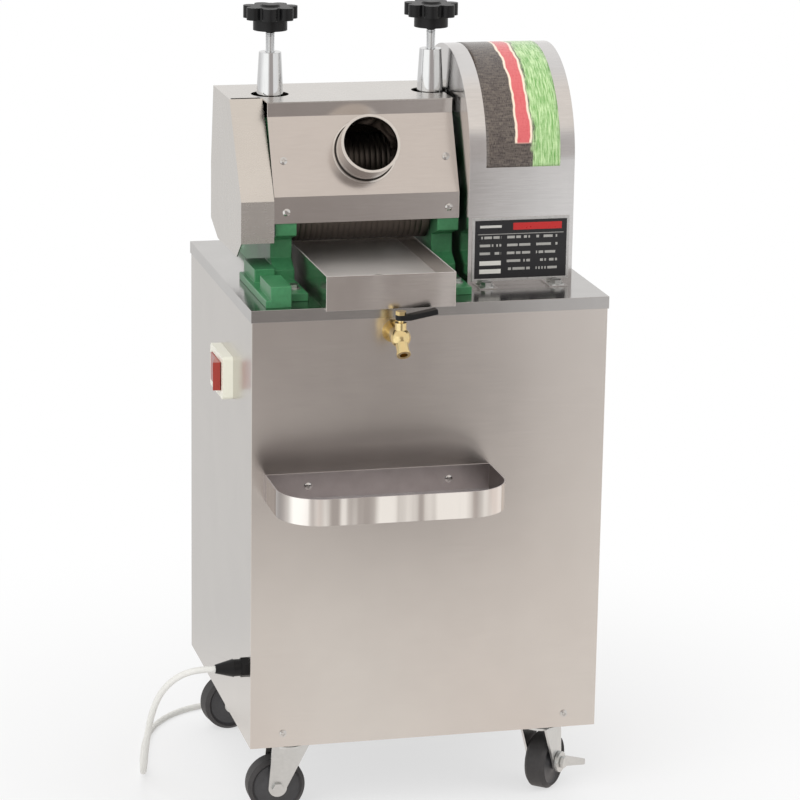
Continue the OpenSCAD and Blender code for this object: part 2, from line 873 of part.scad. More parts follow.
module drain_pipe() {
    top = cab_top + tray_floor;
    color("lightgray") at_cab() translate([tap_x, 0, 0]) difference() {
        union() {
            rod_z(drain_r, tap_z, top, 0, drain_y);
            rod_y(drain_r, front_in + shank_in, drain_y, 0, tap_z);
            translate([0, drain_y, tap_z]) sphere(r = drain_r);
        }
        rod_z(drain_bore, tap_z, top + over, 0, drain_y);
        rod_y(drain_bore, front_in + shank_in - over, drain_y, 0, tap_z);
        translate([0, drain_y, tap_z]) sphere(r = drain_bore);
    }
}

module juice_tray() {
    w = tray_w / 2;
    color("gainsboro") at_cab() translate([mill_x, 0, cab_top]) difference() {
        box([-w, -tray_out, 0], [w, tray_back, tray_h]);
        for (span = [[-over, tray_floor], [tray_floor + sheet, tray_h + over]])
            box([sheet - w, sheet - tray_out, span[0]], [w - sheet, tray_back - sheet, span[1]]);
        rod_z(drain_bore, tray_floor - over, tray_floor + sheet + over, tap_aside, drain_y);
    }
}

// Mill frames and bearings

// One half of a frame's outline, from its foot up to its crown
function frame_side(shoulder) = [[foot_half, 0], [foot_half, foot_h], [heel_half, foot_h],
    [heel_half, heel_h], [waist_half, waist_low], [waist_half, waist_high],
    [shoulder, shoulder_low], [shoulder, shoulder_high],
    [crown_half, top_axis + window_up], [bridge_half, top_axis + bridge_up]];
function mirrored(p) = [for (i = [len(p) - 1 : -1 : 0]) [-p[i][0], p[i][1]]];
rear_shoulder = cover_back - mill_y - sheet;

module frame_outline() {
    difference() {
        polygon(concat(frame_side(rear_shoulder), mirrored(frame_side(shoulder_half))));
        translate([-block_half, top_axis - block_down]) square([2 * block_half, block_down + window_up]);
        for (s = [-1, 1]) translate([s * lower_half, lower_z - cab_top]) circle(journal_r + bush_t);
    }
}

// Front ends of the left frame's lugs along Y, from the mill's middle
lug_ys = [lug_edge - mill_y, lug_edge + lug_pitch - mill_y];

// Frame on one side; the left one has round bosses on its outer face, and a flange with two lugs
module mill_frame(side) {
    mid = side * frame_span / 2;
    face = side * frame_out;
    color("seagreen") at_mill() difference() {
        union() {
            along_x(mid - frame_t / 2, frame_t) frame_outline();
            if (side < 0) box([face - foot_flange, lug_ys[0], 0], [face, lug_ys[1] + lug_l, foot_h]);
            if (side < 0) for (y = lug_ys) box([face - lug_w, y, 0], [face, y + lug_l, lug_h]);
            if (side < 0) for (s = [-1, 1]) along_x(face - boss_t, boss_t)
                translate([s * lower_half, lower_z - cab_top]) difference() {
                    circle(journal_r + bush_t + boss_w);
                    circle(journal_r + bush_t);
                }
        }
        rod_z(screw_d / 2 + clear, top_axis + window_up - over, top_axis + bridge_up + over, mid, 0);
    }
}
module mill_frame_left() { mill_frame(-1); }
module mill_frame_right() { mill_frame(1); }

module lower_bushes() {
    color("peru") at_mill() for (x = [-frame_span / 2, frame_span / 2], s = [-1, 1])
        along_x(x - frame_t / 2, frame_t) translate([s * lower_half, lower_z - cab_top]) difference() {
            circle(journal_r + bush_t);
            circle(journal_r + run_fit);
        }
}

module top_bearing_blocks() {
    color("peru") at_mill() for (x = [-frame_span / 2, frame_span / 2])
        along_x(x - frame_t / 2, frame_t) difference() {
            translate([-block_half, top_axis - block_down]) square([2 * block_half, block_down + block_up]);
            translate([0, top_axis]) circle(shaft_r + run_fit);
        }
}

// Rollers, gears and belt drive

// Outline of a grooved roller and its shaft, as radius and place along the axis
groove_count = floor(2 * roller_half / groove_step) - 1;
function grooves() = [for (i = [1 : groove_count]) let (x = i * groove_step - roller_half)
    each [[roller_r, x - groove_w / 2], [roller_r - groove_depth, x], [roller_r, x + groove_w / 2]]];
function roller_outline(r, right) = let (left = -frame_out - journal_out) concat([[0, left], [r, left],
    [r, -roller_half], [roller_r, -roller_half]], grooves(), [[roller_r, roller_half],
    [r, roller_half], [r, right], [0, right]]);
module roller(r, right, y, z) {
    color("gray") at_mill() translate([0, y, z]) rotate([0, 90, 0]) rotate_extrude()
        polygon(roller_outline(r, right - mill_x));
}
lower_up = lower_z - cab_top;
lower_right = gear_x + gear_w + journal_out;
module top_roller() { roller(shaft_r, pulley_x + pulley_w + journal_out, 0, top_axis); }
module front_roller() { roller(journal_r, lower_right, -lower_half, lower_up); }
module rear_roller() { roller(journal_r, lower_right, lower_half, lower_up); }

// Involute gear outline
tip_r = pitch_r + gear_add;
root_r = pitch_r - gear_add - gear_root_clear;
base_r = pitch_r * cos(gear_pressure);
function involute(a) = tan(a) * 180 / PI - a;
function flank(r) = 90 / gear_teeth - gear_backlash / pitch_r * 90 / PI + involute(gear_pressure)
    - involute(r > base_r ? acos(base_r / r) : 0);
flank_shares = [0, 0.25, 0.5, 0.75, 1];
flank_rs = concat([root_r], [for (s = flank_shares) base_r + s * (tip_r - base_r)]);
function at_angle(r, a) = [r * cos(a), r * sin(a)];
function tooth(a) = concat([for (r = flank_rs) at_angle(r, a - flank(r))],
    [for (i = [len(flank_rs) - 1 : -1 : 0]) at_angle(flank_rs[i], a + flank(flank_rs[i]))]);
tooth_turn = 360 / gear_teeth;
// Directions from the top gear to the lower ones; it has a tooth towards the front one
front_way = atan2(lower_z - top_z, -lower_half);
rear_way = atan2(lower_z - top_z, lower_half);
front_phase = tooth_turn / 2 + front_way + 180;
rear_phase = tooth_turn / 2 + 2 * rear_way + 180 - front_way;
module gear(bore, phase, y, z) {
    left = gear_x - mill_x;
    right = left + gear_w;
    color("darkgray") at_mill() translate([0, y, z]) difference() {
        union() {
            along_x(left, gear_w)
                polygon([for (i = [0 : gear_teeth - 1]) each tooth(phase + i * tooth_turn)]);
            rod_x(gear_hub_r, right, right + gear_hub_h, 0, 0);
        }
        rod_x(bore, left - over, right + gear_hub_h + over, 0, 0);
    }
}
module top_gear() { gear(shaft_r, front_way, 0, top_axis); }
module front_gear() { gear(journal_r, front_phase, -lower_half, lower_up); }
module rear_gear() { gear(journal_r, rear_phase, lower_half, lower_up); }

// Rim of a belt pulley, as radius and place along the axis
function rim(r, inner) = [[inner, 0], [r, 0], [r, (pulley_w - groove_top) / 2],
    [r - groove_deep, (pulley_w - groove_root) / 2], [r - groove_deep, (pulley_w + groove_root) / 2],
    [r, (pulley_w + groove_top) / 2], [r, pulley_w], [inner, pulley_w]];

module driven_pulley() {
    rim_in = driven_r - groove_deep - rim_t;
    color("dimgray") at_mill() translate([pulley_x - mill_x, 0, top_axis]) rotate([0, 90, 0]) difference() {
        rotate_extrude() {
            polygon(rim(driven_r, rim_in));
            translate([hub_r, (pulley_w - web_t) / 2]) square([rim_in - hub_r, web_t]);
            translate([shaft_r, 0]) square([hub_r - shaft_r, pulley_w]);
        }
        for (i = [1 : web_holes]) rotate(i * 360 / web_holes)
            translate([(hub_r + rim_in) / 2, 0, -over]) cylinder(r = web_hole_r, h = pulley_w + 2 * over);
    }
}

module drive_pulley() {
    color("dimgray") at_cab() translate([pulley_x, mill_y, drive_z]) rotate([0, 90, 0]) {
        rotate_extrude() polygon(rim(drive_r, 0));
        translate([0, 0, -box_gap - drive_bore]) cylinder(r = shaft_r, h = box_gap + drive_bore);
    }
}

// Loop of a belt's inner or outer face: over the driven pulley, then under the drive pulley
belt_span = top_z - drive_z;
belt_steps = 32;
function arc(r, up, from, to) = [for (i = [0 : belt_steps]) let (a = from + (to - from) * i / belt_steps)
    [r * cos(a), up + r * sin(a)]];
function belt_loop(inset) = let (lean = asin((driven_r - drive_r) / belt_span))
    concat(arc(driven_r - inset, belt_span, -lean, 180 + lean),
        arc(drive_r - inset, 0, 180 + lean, 360 - lean));

module v_belt() {
    color("black") at_cab() translate([0, mill_y, drive_z])
        along_x(belt_x - belt_w / 2, belt_w) difference() {
            polygon(belt_loop(belt_proud));
            polygon(belt_loop(belt_proud + belt_t));
        }
}

module gearbox() {
    foot_top = floor_top + box_foot_h;
    right = box_x + box_w;
    color("slategray") at_cab() difference() {
        union() {
            box([box_x, mill_y - box_l / 2, foot_top], [right, mill_y + box_l / 2, foot_top + box_h]);
            box([box_x, mill_y - box_foot_l / 2, floor_top], [right, mill_y + box_foot_l / 2, foot_top]);
        }
        rod_x(shaft_r + run_fit, right - drive_bore - clear, right + over, mill_y, drive_z);
    }
}

module motor() {
    bell_x = box_x - motor_bell_l;
    stack_x = bell_x - motor_l;
    color("slategray") at_cab() translate([0, mill_y, drive_z]) {
        rod_x(motor_bell_r, bell_x, box_x, 0, 0);
        along_x(stack_x, motor_l) {
            circle(motor_r - motor_fin_h);
            for (i = [1 : motor_fins]) rotate(i * 360 / motor_fins)
                translate([motor_r / 2, -motor_fin_w / 2]) square([motor_r / 2, motor_fin_w]);
        }
        rod_x(motor_fan_r, stack_x - motor_fan_l, stack_x, 0, 0);
        box([(stack_x + bell_x - motor_box_w) / 2, -motor_box_w / 2, motor_r / 2],
            [(stack_x + bell_x + motor_box_w) / 2, motor_box_w / 2, motor_r + motor_box_h]);
    }
}

// Cover, feed plate and chute

// Left end of the cover, from the foot of its front round to the foot of its back
cover_wrap_path = [[cover_front_low, cover_low], [cover_front_low, cover_bend], [cover_front_top, cover_up],
    [cover_back_top, cover_up], [cover_back, cover_back_bend], [cover_back, cover_back_low]];
cover_heel = [[cover_heel_y, cover_heel_up], [cover_toe_y, cover_toe_up], [cover_front_low, cover_low]];
cover_back_share = (cover_up - cover_back_open) / (cover_up - cover_back_bend);
cover_top_path = [[cover_front_top, cover_up], [cover_back_top, cover_up],
    [cover_back_top + (cover_back - cover_back_top) * cover_back_share, cover_back_open]];
function reversed(p) = [for (i = [len(p) - 1 : -1 : 0]) p[i]];

module roller_cover() {
    left = mill_x - cover_left;
    right = mill_x + frame_out;
    color("gainsboro") at_cab() translate([0, 0, cab_top]) difference() {
        union() {
            along_x(left, cover_wrap) polygon(folded(reversed(cover_wrap_path), sheet));
            along_x(left, right - left) polygon(folded(reversed(cover_top_path), sheet));
            along_x(left, sheet) polygon(concat(cover_wrap_path, cover_heel));
            box([left + cover_wrap, feed_top_y - cover_lap, cover_up - sheet],
                [right, cover_front_top + cover_lap, cover_up]);
        }
        for (x = frame_xs) rod_z(sleeve_hole_r, cover_up - sheet - over, cover_up + over, x, mill_y);
        box([left + cover_slot_in, cover_front_top, cover_up - cover_slot_y],
            [left + cover_wrap - cover_slot_in, cover_front_top + cover_slot_y, cover_up + over]);
    }
}

feed_path = [[feed_top_y, cover_up - sheet], [feed_top_y, feed_bend_top],
    [feed_low_y, feed_bend_low], [feed_low_y, feed_edge_low]];

// Tube coordinates: middle of the tube's root, axis out of the feed plate
module at_tube() {
    at_cab() translate([mill_x, tube_y, cab_top + tube_up]) rotate([feed_tilt, 0, 0]) children();
}

module feed_plate() {
    left = mill_x - cover_left + cover_wrap + clear;
    right = mill_x + frame_out;
    color("gainsboro") difference() {
        at_cab() translate([0, 0, cab_top]) along_x(left, right - left) polygon(folded(feed_path, sheet));
        at_tube() translate([0, 0, -tube_r]) cylinder(r = tube_r - tube_wall + clear, h = 2 * tube_r);
    }
}

module feed_tube() {
    color("gainsboro") at_tube() difference() {
        union() {
            cylinder(r = tube_r, h = tube_len);
            cylinder(r = tube_r + collar_w, h = collar_h);
        }
        translate([0, 0, -over]) cylinder(r = tube_r - tube_wall, h = tube_len + 2 * over);
    }
}

module bagasse_chute() {
    w = frame_in - chute_side;
    y0 = lower_half + roller_r + chute_gap;
    color("gainsboro") at_mill() {
        along_x(-w, 2 * w) polygon(folded([[y0 + chute_out, chute_low], [y0, chute_top]], sheet));
        for (x = [-w, w - sheet]) along_x(x, sheet) polygon([[y0 + chute_out, chute_low], [y0, chute_top],
            [y0, chute_top + chute_rim], [y0 + chute_out, chute_low + chute_rim]]);
    }
}

// Pressure screws

// Screw coordinates: axis of the left or right screw, top of the lid
module at_screw(side) { at_mill() translate([side * frame_span / 2, 0, 0]) children(); }

module press_sleeves() {
    base = top_axis + bridge_up;
    color("lightgray") for (side = [-1, 1]) at_screw(side) difference() {
        translate([0, 0, base]) cylinder(r1 = sleeve_base_r, r2 = sleeve_top_r, h = sleeve_up - base);
        rod_z(screw_d / 2 + clear, base - over, sleeve_up + over, 0, 0);
    }
}

pad_low = top_axis + block_up + pad_gap;
pad_top = pad_low + pad_t;

module press_pad(side) {
    half = frame_t / 2 - pad_rim;
    color("gray") at_screw(side) box([-half, -pad_half, pad_low], [half, pad_half, pad_top]);
}
module press_pad_left() { press_pad(-1); }
module press_pad_right() { press_pad(1); }

// Threaded rod: rings at the thread's pitch above the sleeve, plain below
function thread() = [for (z = [sleeve_up + screw_pitch : screw_pitch : knob_hub_up - screw_pitch])
    each [[screw_d / 2, z - screw_pitch / 2], [screw_d / 2 - thread_depth, z]]];
module press_screw(side) {
    low = pad_top + clear;
    color("silver") at_screw(side) rotate_extrude() polygon(concat([[0, low], [screw_d / 2, low]], thread(),
        [[screw_d / 2, knob_hub_up], [screw_d / 2, rod_up], [0, rod_up]]));
}
module press_screw_left() { press_screw(-1); }
module press_screw_right() { press_screw(1); }

module knob(side) {
    top = knob_hub_up + knob_hub_h;
    color("black") at_screw(side) difference() {
        union() {
            translate([0, 0, knob_hub_up]) cylinder(r = knob_hub_r, h = knob_hub_h);
            translate([0, 0, top]) linear_extrude(knob_h) {
                circle(knob_d / 2 - knob_lobe_r);
                for (i = [1 : knob_lobes]) rotate(i * 360 / knob_lobes)
                    translate([knob_d / 2 - knob_lobe_r, 0]) circle(knob_lobe_r);
            }
            translate([0, 0, top + knob_h])
                cylinder(r1 = knob_crown_r, r2 = knob_crown_r - knob_crown_h, h = knob_crown_h);
        }
        rod_z(screw_d / 2, knob_hub_up - over, rod_up, 0, 0);
    }
}
module knob_left() { knob(-1); }
module knob_right() { knob(1); }

// Gear guard

// Arched outline, its round a little above the top axis, down to the lid
module arch(r) {
    translate([0, guard_up]) circle(r);
    translate([-r, 0]) square([2 * r, guard_up]);
}

module gear_guard() {
    color("gainsboro") at_cab() {
        translate([0, mill_y, cab_top]) {
            along_x(guard_x, guard_w) difference() {
                arch(guard_r);
                arch(guard_r - sheet);
            }
            along_x(guard_x + guard_w - sheet, sheet) arch(guard_r);
            along_x(guard_x, sheet) difference() {
                arch(guard_r);
                translate([0, top_axis]) circle(shaft_r + clear);
                for (s = [-1, 1]) translate([s * lower_half, lower_up]) circle(journal_r + clear);
            }
        }
        for (x = guard_tab_xs, y = guard_bolt_ys) translate([x, y, cab_top])
            linear_extrude(sheet) square([guard_tab_w, guard_tab_out + sheet], center = true);
    }
}

module nameplate() {
    mid = guard_x + guard_w / 2;
    face = mill_y - guard_r;
    low = cab_top + plate_up;
    color("black") at_cab() difference() {
        box([mid - plate_w / 2, face - plate_t, low], [mid + plate_w / 2, face, low + plate_h]);
        box([mid - plate_w / 2 + plate_rim, face - plate_t - over, low + plate_rim],
            [mid + plate_w / 2 - plate_rim, face - plate_t + plate_step, low + plate_h - plate_rim]);
    }
}

// Casters

module at_caster(i) { at_cab() translate(caster_places[i]) rotate(caster_turns[i]) children(); }
module caster_plates() {
    color("silver") at_cab() for (p = caster_places) translate(p) difference() {
        union() {
            translate([0, 0, ground - caster_t]) linear_extrude(caster_t)
                round_rect(2 * plate_half, 2 * plate_half, caster_bolt_in);
            rod_z(race_r, race_low, ground - caster_t, 0, 0);
        }
        rod_z(king_r + run_fit, race_low - over, race_low + king_h + clear, 0, 0);
    }
}

// Cheek of a fork
module cheek() {
    polygon([[-fork_r, fork_top], [trail - fork_boss, wheel_r],
        [trail + fork_boss, wheel_r], [fork_r, fork_top]]);
    translate([trail, wheel_r]) circle(fork_boss);
}

// Fork with its axle; the front right axle reaches out through the brake's disc
module caster_fork(i) {
    end = fork_y + fork_t;
    near_end = end + (i == 1 ? brake_t + 2 * clear : 0);
    color("silver") at_caster(i) {
        rod_z(fork_r, fork_top - fork_t, fork_top, 0, 0);
        for (y = [-end, fork_y]) along_y(y, fork_t) cheek();
        box([-fork_r / 2, -end, fork_top - fork_t], [fork_r / 2, end, fork_top]);
        rod_z(king_r, fork_top, race_low + king_h, 0, 0);
        rod_y(axle_r, -near_end, end, trail, wheel_r);
        for (y = [-near_end - axle_nut_h, end]) translate([trail, y, wheel_r]) rotate([-90, 0, 0])
            cylinder(r = axle_nut_r, h = axle_nut_h, $fn = 6);
    }
}
module caster_fork_fl() { caster_fork(0); }
module caster_fork_fr() { caster_fork(1); }
module caster_fork_rl() { caster_fork(2); }
module caster_fork_rr() { caster_fork(3); }

module caster_wheel(i) {
    w = wheel_w / 2;
    bore = axle_r + run_fit;
    color("black") at_caster(i) translate([trail, 0, wheel_r]) rotate([90, 0, 0]) rotate_extrude()
        polygon([[bore, -w], [hub_face_r / 2, -w], [hub_face_r, hub_dish - w], [tyre_in, hub_dish - w],
            [tyre_side, -w], [wheel_r, tread_round - w], [wheel_r, w - tread_round], [tyre_side, w],
            [tyre_in, w - hub_dish], [hub_face_r, w - hub_dish], [hub_face_r / 2, w], [bore, w]]);
}
module caster_wheel_fl() { caster_wheel(0); }
module caster_wheel_fr() { caster_wheel(1); }
module caster_wheel_rl() { caster_wheel(2); }
module caster_wheel_rr() { caster_wheel(3); }

// Foot brake on the front right caster: a disc on the axle, and a lever that bends out past the wheel
module brake_pedal() {
    face = -fork_y - fork_t - clear;
    skin = face - brake_lever_t;
    color("silver") at_caster(1) translate([trail, 0, wheel_r]) difference() {
        union() {
            rod_y(brake_r, face - brake_t, face, 0, 0);
            intersection() {
                translate([0, 0, -brake_drop - brake_root_h]) linear_extrude(2 * (brake_drop + brake_root_h))
                    polygon(folded([[0, skin], [brake_flat, skin], [brake_reach, skin - brake_out]],
                        brake_lever_t));
                along_y(skin - brake_out - over, brake_lever_t + brake_out + 2 * over)
                    polygon([[0, brake_root_h / 2], [brake_reach, brake_tip_h / 2 - brake_drop],
                        [brake_reach, -brake_tip_h / 2 - brake_drop], [0, -brake_root_h / 2]]);
            }
        }
        rod_y(axle_r + run_fit, face - brake_t - over, face + over, 0, 0);
    }
}

base_plate();
left_side_panel();
right_side_panel();
front_panel();
back_panel();
top_plate();
panel_screws();
hex_bolts();
cup_shelf();
switch_box();
rocker();
cable_gland();
power_cord();
cord_coil();
mains_plug();
tap_body();
tap_stem();
tap_lever();
drain_pipe();
juice_tray();
mill_frame_left();
mill_frame_right();
lower_bushes();
top_bearing_blocks();
top_roller();
front_roller();
rear_roller();
top_gear();
front_gear();
rear_gear();
driven_pulley();
v_belt();
motor();
gearbox();
drive_pulley();
roller_cover();
feed_plate();
feed_tube();
press_sleeves();
press_pad_left();
press_pad_right();
press_screw_left();
press_screw_right();
knob_left();
knob_right();
gear_guard();
nameplate();
bagasse_chute();
caster_plates();
caster_fork_fl();
caster_fork_fr();
caster_fork_rl();
caster_fork_rr();
caster_wheel_fl();
caster_wheel_fr();
caster_wheel_rl();
caster_wheel_rr();
brake_pedal();
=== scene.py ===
# %% [markdown]
# # A sugarcane juicer, dressed
#
# The machine is a stainless cabinet on casters with a three-roller mill on its lid. Its solids
# arrive finished, each where it belongs, so this lesson gives them their finishes and adds what
# solids do badly: the mains cord, the strap round its coil and a printed film.
# A scene could also be modelled from nothing here, but then no joint would fit. Loading the solids
# as a fixed frame keeps every bore and axle true.

# %% Load the frame
import math

import bpy
from mathutils import Matrix, Vector


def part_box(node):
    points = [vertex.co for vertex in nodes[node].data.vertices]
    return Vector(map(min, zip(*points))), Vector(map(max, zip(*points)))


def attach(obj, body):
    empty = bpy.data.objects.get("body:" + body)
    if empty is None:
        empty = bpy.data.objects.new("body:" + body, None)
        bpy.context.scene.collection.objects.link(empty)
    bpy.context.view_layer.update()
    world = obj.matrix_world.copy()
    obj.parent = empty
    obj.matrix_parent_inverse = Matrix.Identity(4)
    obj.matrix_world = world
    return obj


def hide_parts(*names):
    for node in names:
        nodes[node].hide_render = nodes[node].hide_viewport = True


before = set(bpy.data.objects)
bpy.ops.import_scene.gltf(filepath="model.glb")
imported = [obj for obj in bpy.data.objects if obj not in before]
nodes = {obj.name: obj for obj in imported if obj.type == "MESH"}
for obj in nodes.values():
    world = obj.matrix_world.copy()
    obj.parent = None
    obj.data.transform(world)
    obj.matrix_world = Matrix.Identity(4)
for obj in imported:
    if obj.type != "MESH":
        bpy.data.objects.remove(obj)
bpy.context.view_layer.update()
scene = bpy.context.scene
scene.view_settings.view_transform = "Standard"
MM = 0.001

# %% [markdown]
# ## Where the photographer stood
#
# The machine was taken from far away with a long lens, a little from its left and from above.
# A camera can be aimed with a constraint, but an aim leaves no room for the slight roll of a
# hand-held picture. Three perpendicular directions, written as the columns of a matrix, hold it all.

# %% Camera
AZIMUTH, ELEVATION, ROLL = (math.radians(a) for a in (-14.10, 14.80, 0.92))
EYE = Vector((-816.6, -3308.8, 1326)) * MM
LENS, FILM = 148.1, 36

back = Vector((math.sin(AZIMUTH) * math.cos(ELEVATION), -math.cos(AZIMUTH) * math.cos(ELEVATION),
    math.sin(ELEVATION)))
level = Vector((math.cos(AZIMUTH), math.sin(AZIMUTH), 0))
upright = back.cross(level)
across = math.cos(ROLL) * level + math.sin(ROLL) * upright
over = math.cos(ROLL) * upright - math.sin(ROLL) * level

camera = bpy.data.objects.new("camera", bpy.data.cameras.new("camera"))
camera.data.lens, camera.data.sensor_width, camera.data.sensor_fit = LENS, FILM, "HORIZONTAL"
camera.matrix_world = Matrix.Translation(EYE) @ Matrix((across, over, back)).transposed().to_4x4()
scene.collection.objects.link(camera)
scene.camera = camera
print("camera", round((EYE - Vector((0, 0, 0.4))).length, 2), "m from the machine")

# %% [markdown]
# ## The mains cord
#
# A pale round lead leaves the gland on the left, drops to the floor under its own weight, runs
# round behind the cabinet and is wound up there with its plug, as it would be for storage.
# A swept mesh would do, but a curve keeps its centreline, so its length can be measured. The spare
# length spirals in on the floor, climbs half a turn and spirals out again on top.
# The points are in millimetres, and LIE is the height of the lead's middle where it lies down.

# %% Route of the cord
CORD_D = 7
LIE = 3.6
ROUTE = [(-206.4, -103.8, 171), (-222, -103.8, 171), (-236, -102, 168), (-249, -98, 160),
    (-259, -91, 147), (-265, -81, 130), (-268, -69, 111), (-269, -56, 91), (-269, -42, 71),
    (-268, -27, 52), (-266, -10, 35), (-264, 8, 21), (-261, 27, 11.5), (-258, 46, 6),
    (-255, 65, LIE), (-252, 84, LIE), (-248, 103, LIE), (-244, 122, LIE), (-239, 141, LIE),
    (-233, 160, LIE), (-225, 178, LIE), (-215, 195, LIE), (-203, 210, LIE), (-189, 223, LIE),
    (-173, 233, LIE), (-155, 240, LIE), (-136, 244, LIE), (-117, 246, LIE), (-98, 246, LIE),
    (-79, 246, LIE), (-60, 246, LIE)]
print("route of", len(ROUTE), "points to the coil")

# %% Coil of the spare length
COIL_X, COIL_Y, COIL_R, COIL_STEP = -40, 296, 50, 8
TURNS_IN, CLIMB, RINGS, LIFT, TAIL = 2.5, 0.5, 24, 8.4, 14
ALL_TURNS = 2 * TURNS_IN + CLIMB


def coil_point(turn):
    """Place on the coil after some turns, in millimetres."""
    up = turn - TURNS_IN
    if up <= 0:
        wound = turn
    elif up <= CLIMB:
        wound = TURNS_IN + CLIMB / 2 - abs(up - CLIMB / 2)
    else:
        wound = TURNS_IN - (up - CLIMB)
    reach = COIL_R - COIL_STEP * wound
    angle = math.tau * turn - math.pi / 2
    rise = LIFT * min(max(up / CLIMB, 0), 1)
    return Vector((COIL_X + reach * math.cos(angle), COIL_Y + reach * math.sin(angle), LIE + rise))


coil = [coil_point(i / RINGS) for i in range(int(ALL_TURNS * RINGS) + 1)]
way = (coil[-1] - coil_point(ALL_TURNS - 0.25 / RINGS)).normalized()
cord_points = [Vector(p) for p in ROUTE] + coil + [coil[-1] + way * TAIL / 2, coil[-1] + way * TAIL]
cord_length = sum((b - a).length for a, b in zip(cord_points, cord_points[1:])) * MM
print("cord", round(cord_length, 3), "m over", len(cord_points), "points")

# %% Cord as a curve
cord_line = bpy.data.curves.new("mains_lead", "CURVE")
cord_line.dimensions = "3D"
cord_line.bevel_depth = 1.0
cord_line.bevel_resolution = 5
cord_line.use_fill_caps = True
cord_line.resolution_u = 4
spline = cord_line.splines.new("BEZIER")
spline.bezier_points.add(len(cord_points) - 1)
for knot, place in zip(spline.bezier_points, cord_points):
    knot.co = place * MM
    knot.radius = CORD_D / 2 * MM
    knot.handle_left_type = knot.handle_right_type = "AUTO"
mains_lead = bpy.data.objects.new("mains_lead", cord_line)
scene.collection.objects.link(mains_lead)
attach(mains_lead, "cabinet")
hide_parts("power_cord", "cord_coil")
print("lead drawn as one spline")

# %% [markdown]
# ## A strap round the coil
#
# A wound lead is held by a soft strap with its end tucked through. A torus would be round in the
# wrong places, so a rounded rectangle is drawn in the plane that cuts the coil and given a width
# and a thickness.

# %% Helpers for drawn pieces
def rounded_loop(x0, x1, z0, z1, radius, steps=8):
    """Points of a rectangle with round corners, anticlockwise."""
    corners = [(x1, z0, -90), (x1, z1, 0), (x0, z1, 90), (x0, z0, 180)]
    points = []
    for x, z, start in corners:
        cx = x - math.copysign(radius, x - (x0 + x1) / 2)
        cz = z - math.copysign(radius, z - (z0 + z1) / 2)
        for i in range(steps + 1):
            turn = math.radians(start + 90 * i / steps)
            points.append((cx + radius * math.cos(turn), cz + radius * math.sin(turn)))
    return points


def new_piece(name, points, faces, smooth=True):
    """A mesh piece from points in metres and faces."""
    mesh = bpy.data.meshes.new(name)
    mesh.from_pydata([tuple(p) for p in points], [], faces)
    mesh.polygons.foreach_set("use_smooth", [smooth] * len(mesh.polygons))
    mesh.update()
    piece = bpy.data.objects.new(name, mesh)
    scene.collection.objects.link(piece)
    return piece


print("a loop with round corners has", len(rounded_loop(0, 9, 0, 9, 3)), "points")

# %% Cable strap
STRAP_W, STRAP_T, STRAP_ROUND = 9, 1, 6
STRAP_IN, STRAP_OUT, STRAP_LOW, STRAP_TOP = 26, 55, 1.1, 16.3
STRAP_TURN = math.radians(200)

inner = rounded_loop(STRAP_IN, STRAP_OUT, STRAP_LOW, STRAP_TOP, STRAP_ROUND)
outer = rounded_loop(STRAP_IN - STRAP_T, STRAP_OUT + STRAP_T, STRAP_LOW - STRAP_T,
    STRAP_TOP + STRAP_T, STRAP_ROUND + STRAP_T)
radial = Vector((math.cos(STRAP_TURN), math.sin(STRAP_TURN), 0))
aside = Vector((-radial.y, radial.x, 0))
hub = Vector((COIL_X, COIL_Y, 0))
strap_points = []
for (xi, zi), (xo, zo) in zip(inner, outer):
    for x, z, s in ((xi, zi, -1), (xi, zi, 1), (xo, zo, 1), (xo, zo, -1)):
        strap_points.append((hub + radial * x + aside * s * STRAP_W / 2 + Vector((0, 0, z))) * MM)
ring = len(inner)
strap_faces = [(4 * i + k, 4 * i + (k + 1) % 4, 4 * ((i + 1) % ring) + (k + 1) % 4,
    4 * ((i + 1) % ring) + k) for i in range(ring) for k in range(4)]
cable_strap = new_piece("cable_strap", strap_points, strap_faces, smooth=False)
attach(cable_strap, "cabinet")
print("strap of", len(strap_faces), "faces")

# %% [markdown]
# ## Sums that draw shaders
#
# A finish is a small calculation: how rough, how dark, how deep at each place. Nodes can be wired
# one by one, but long chains hide the thought. A class that wraps a socket lets Python's own signs
# add the Math nodes, and one method makes every other node, its settings first.

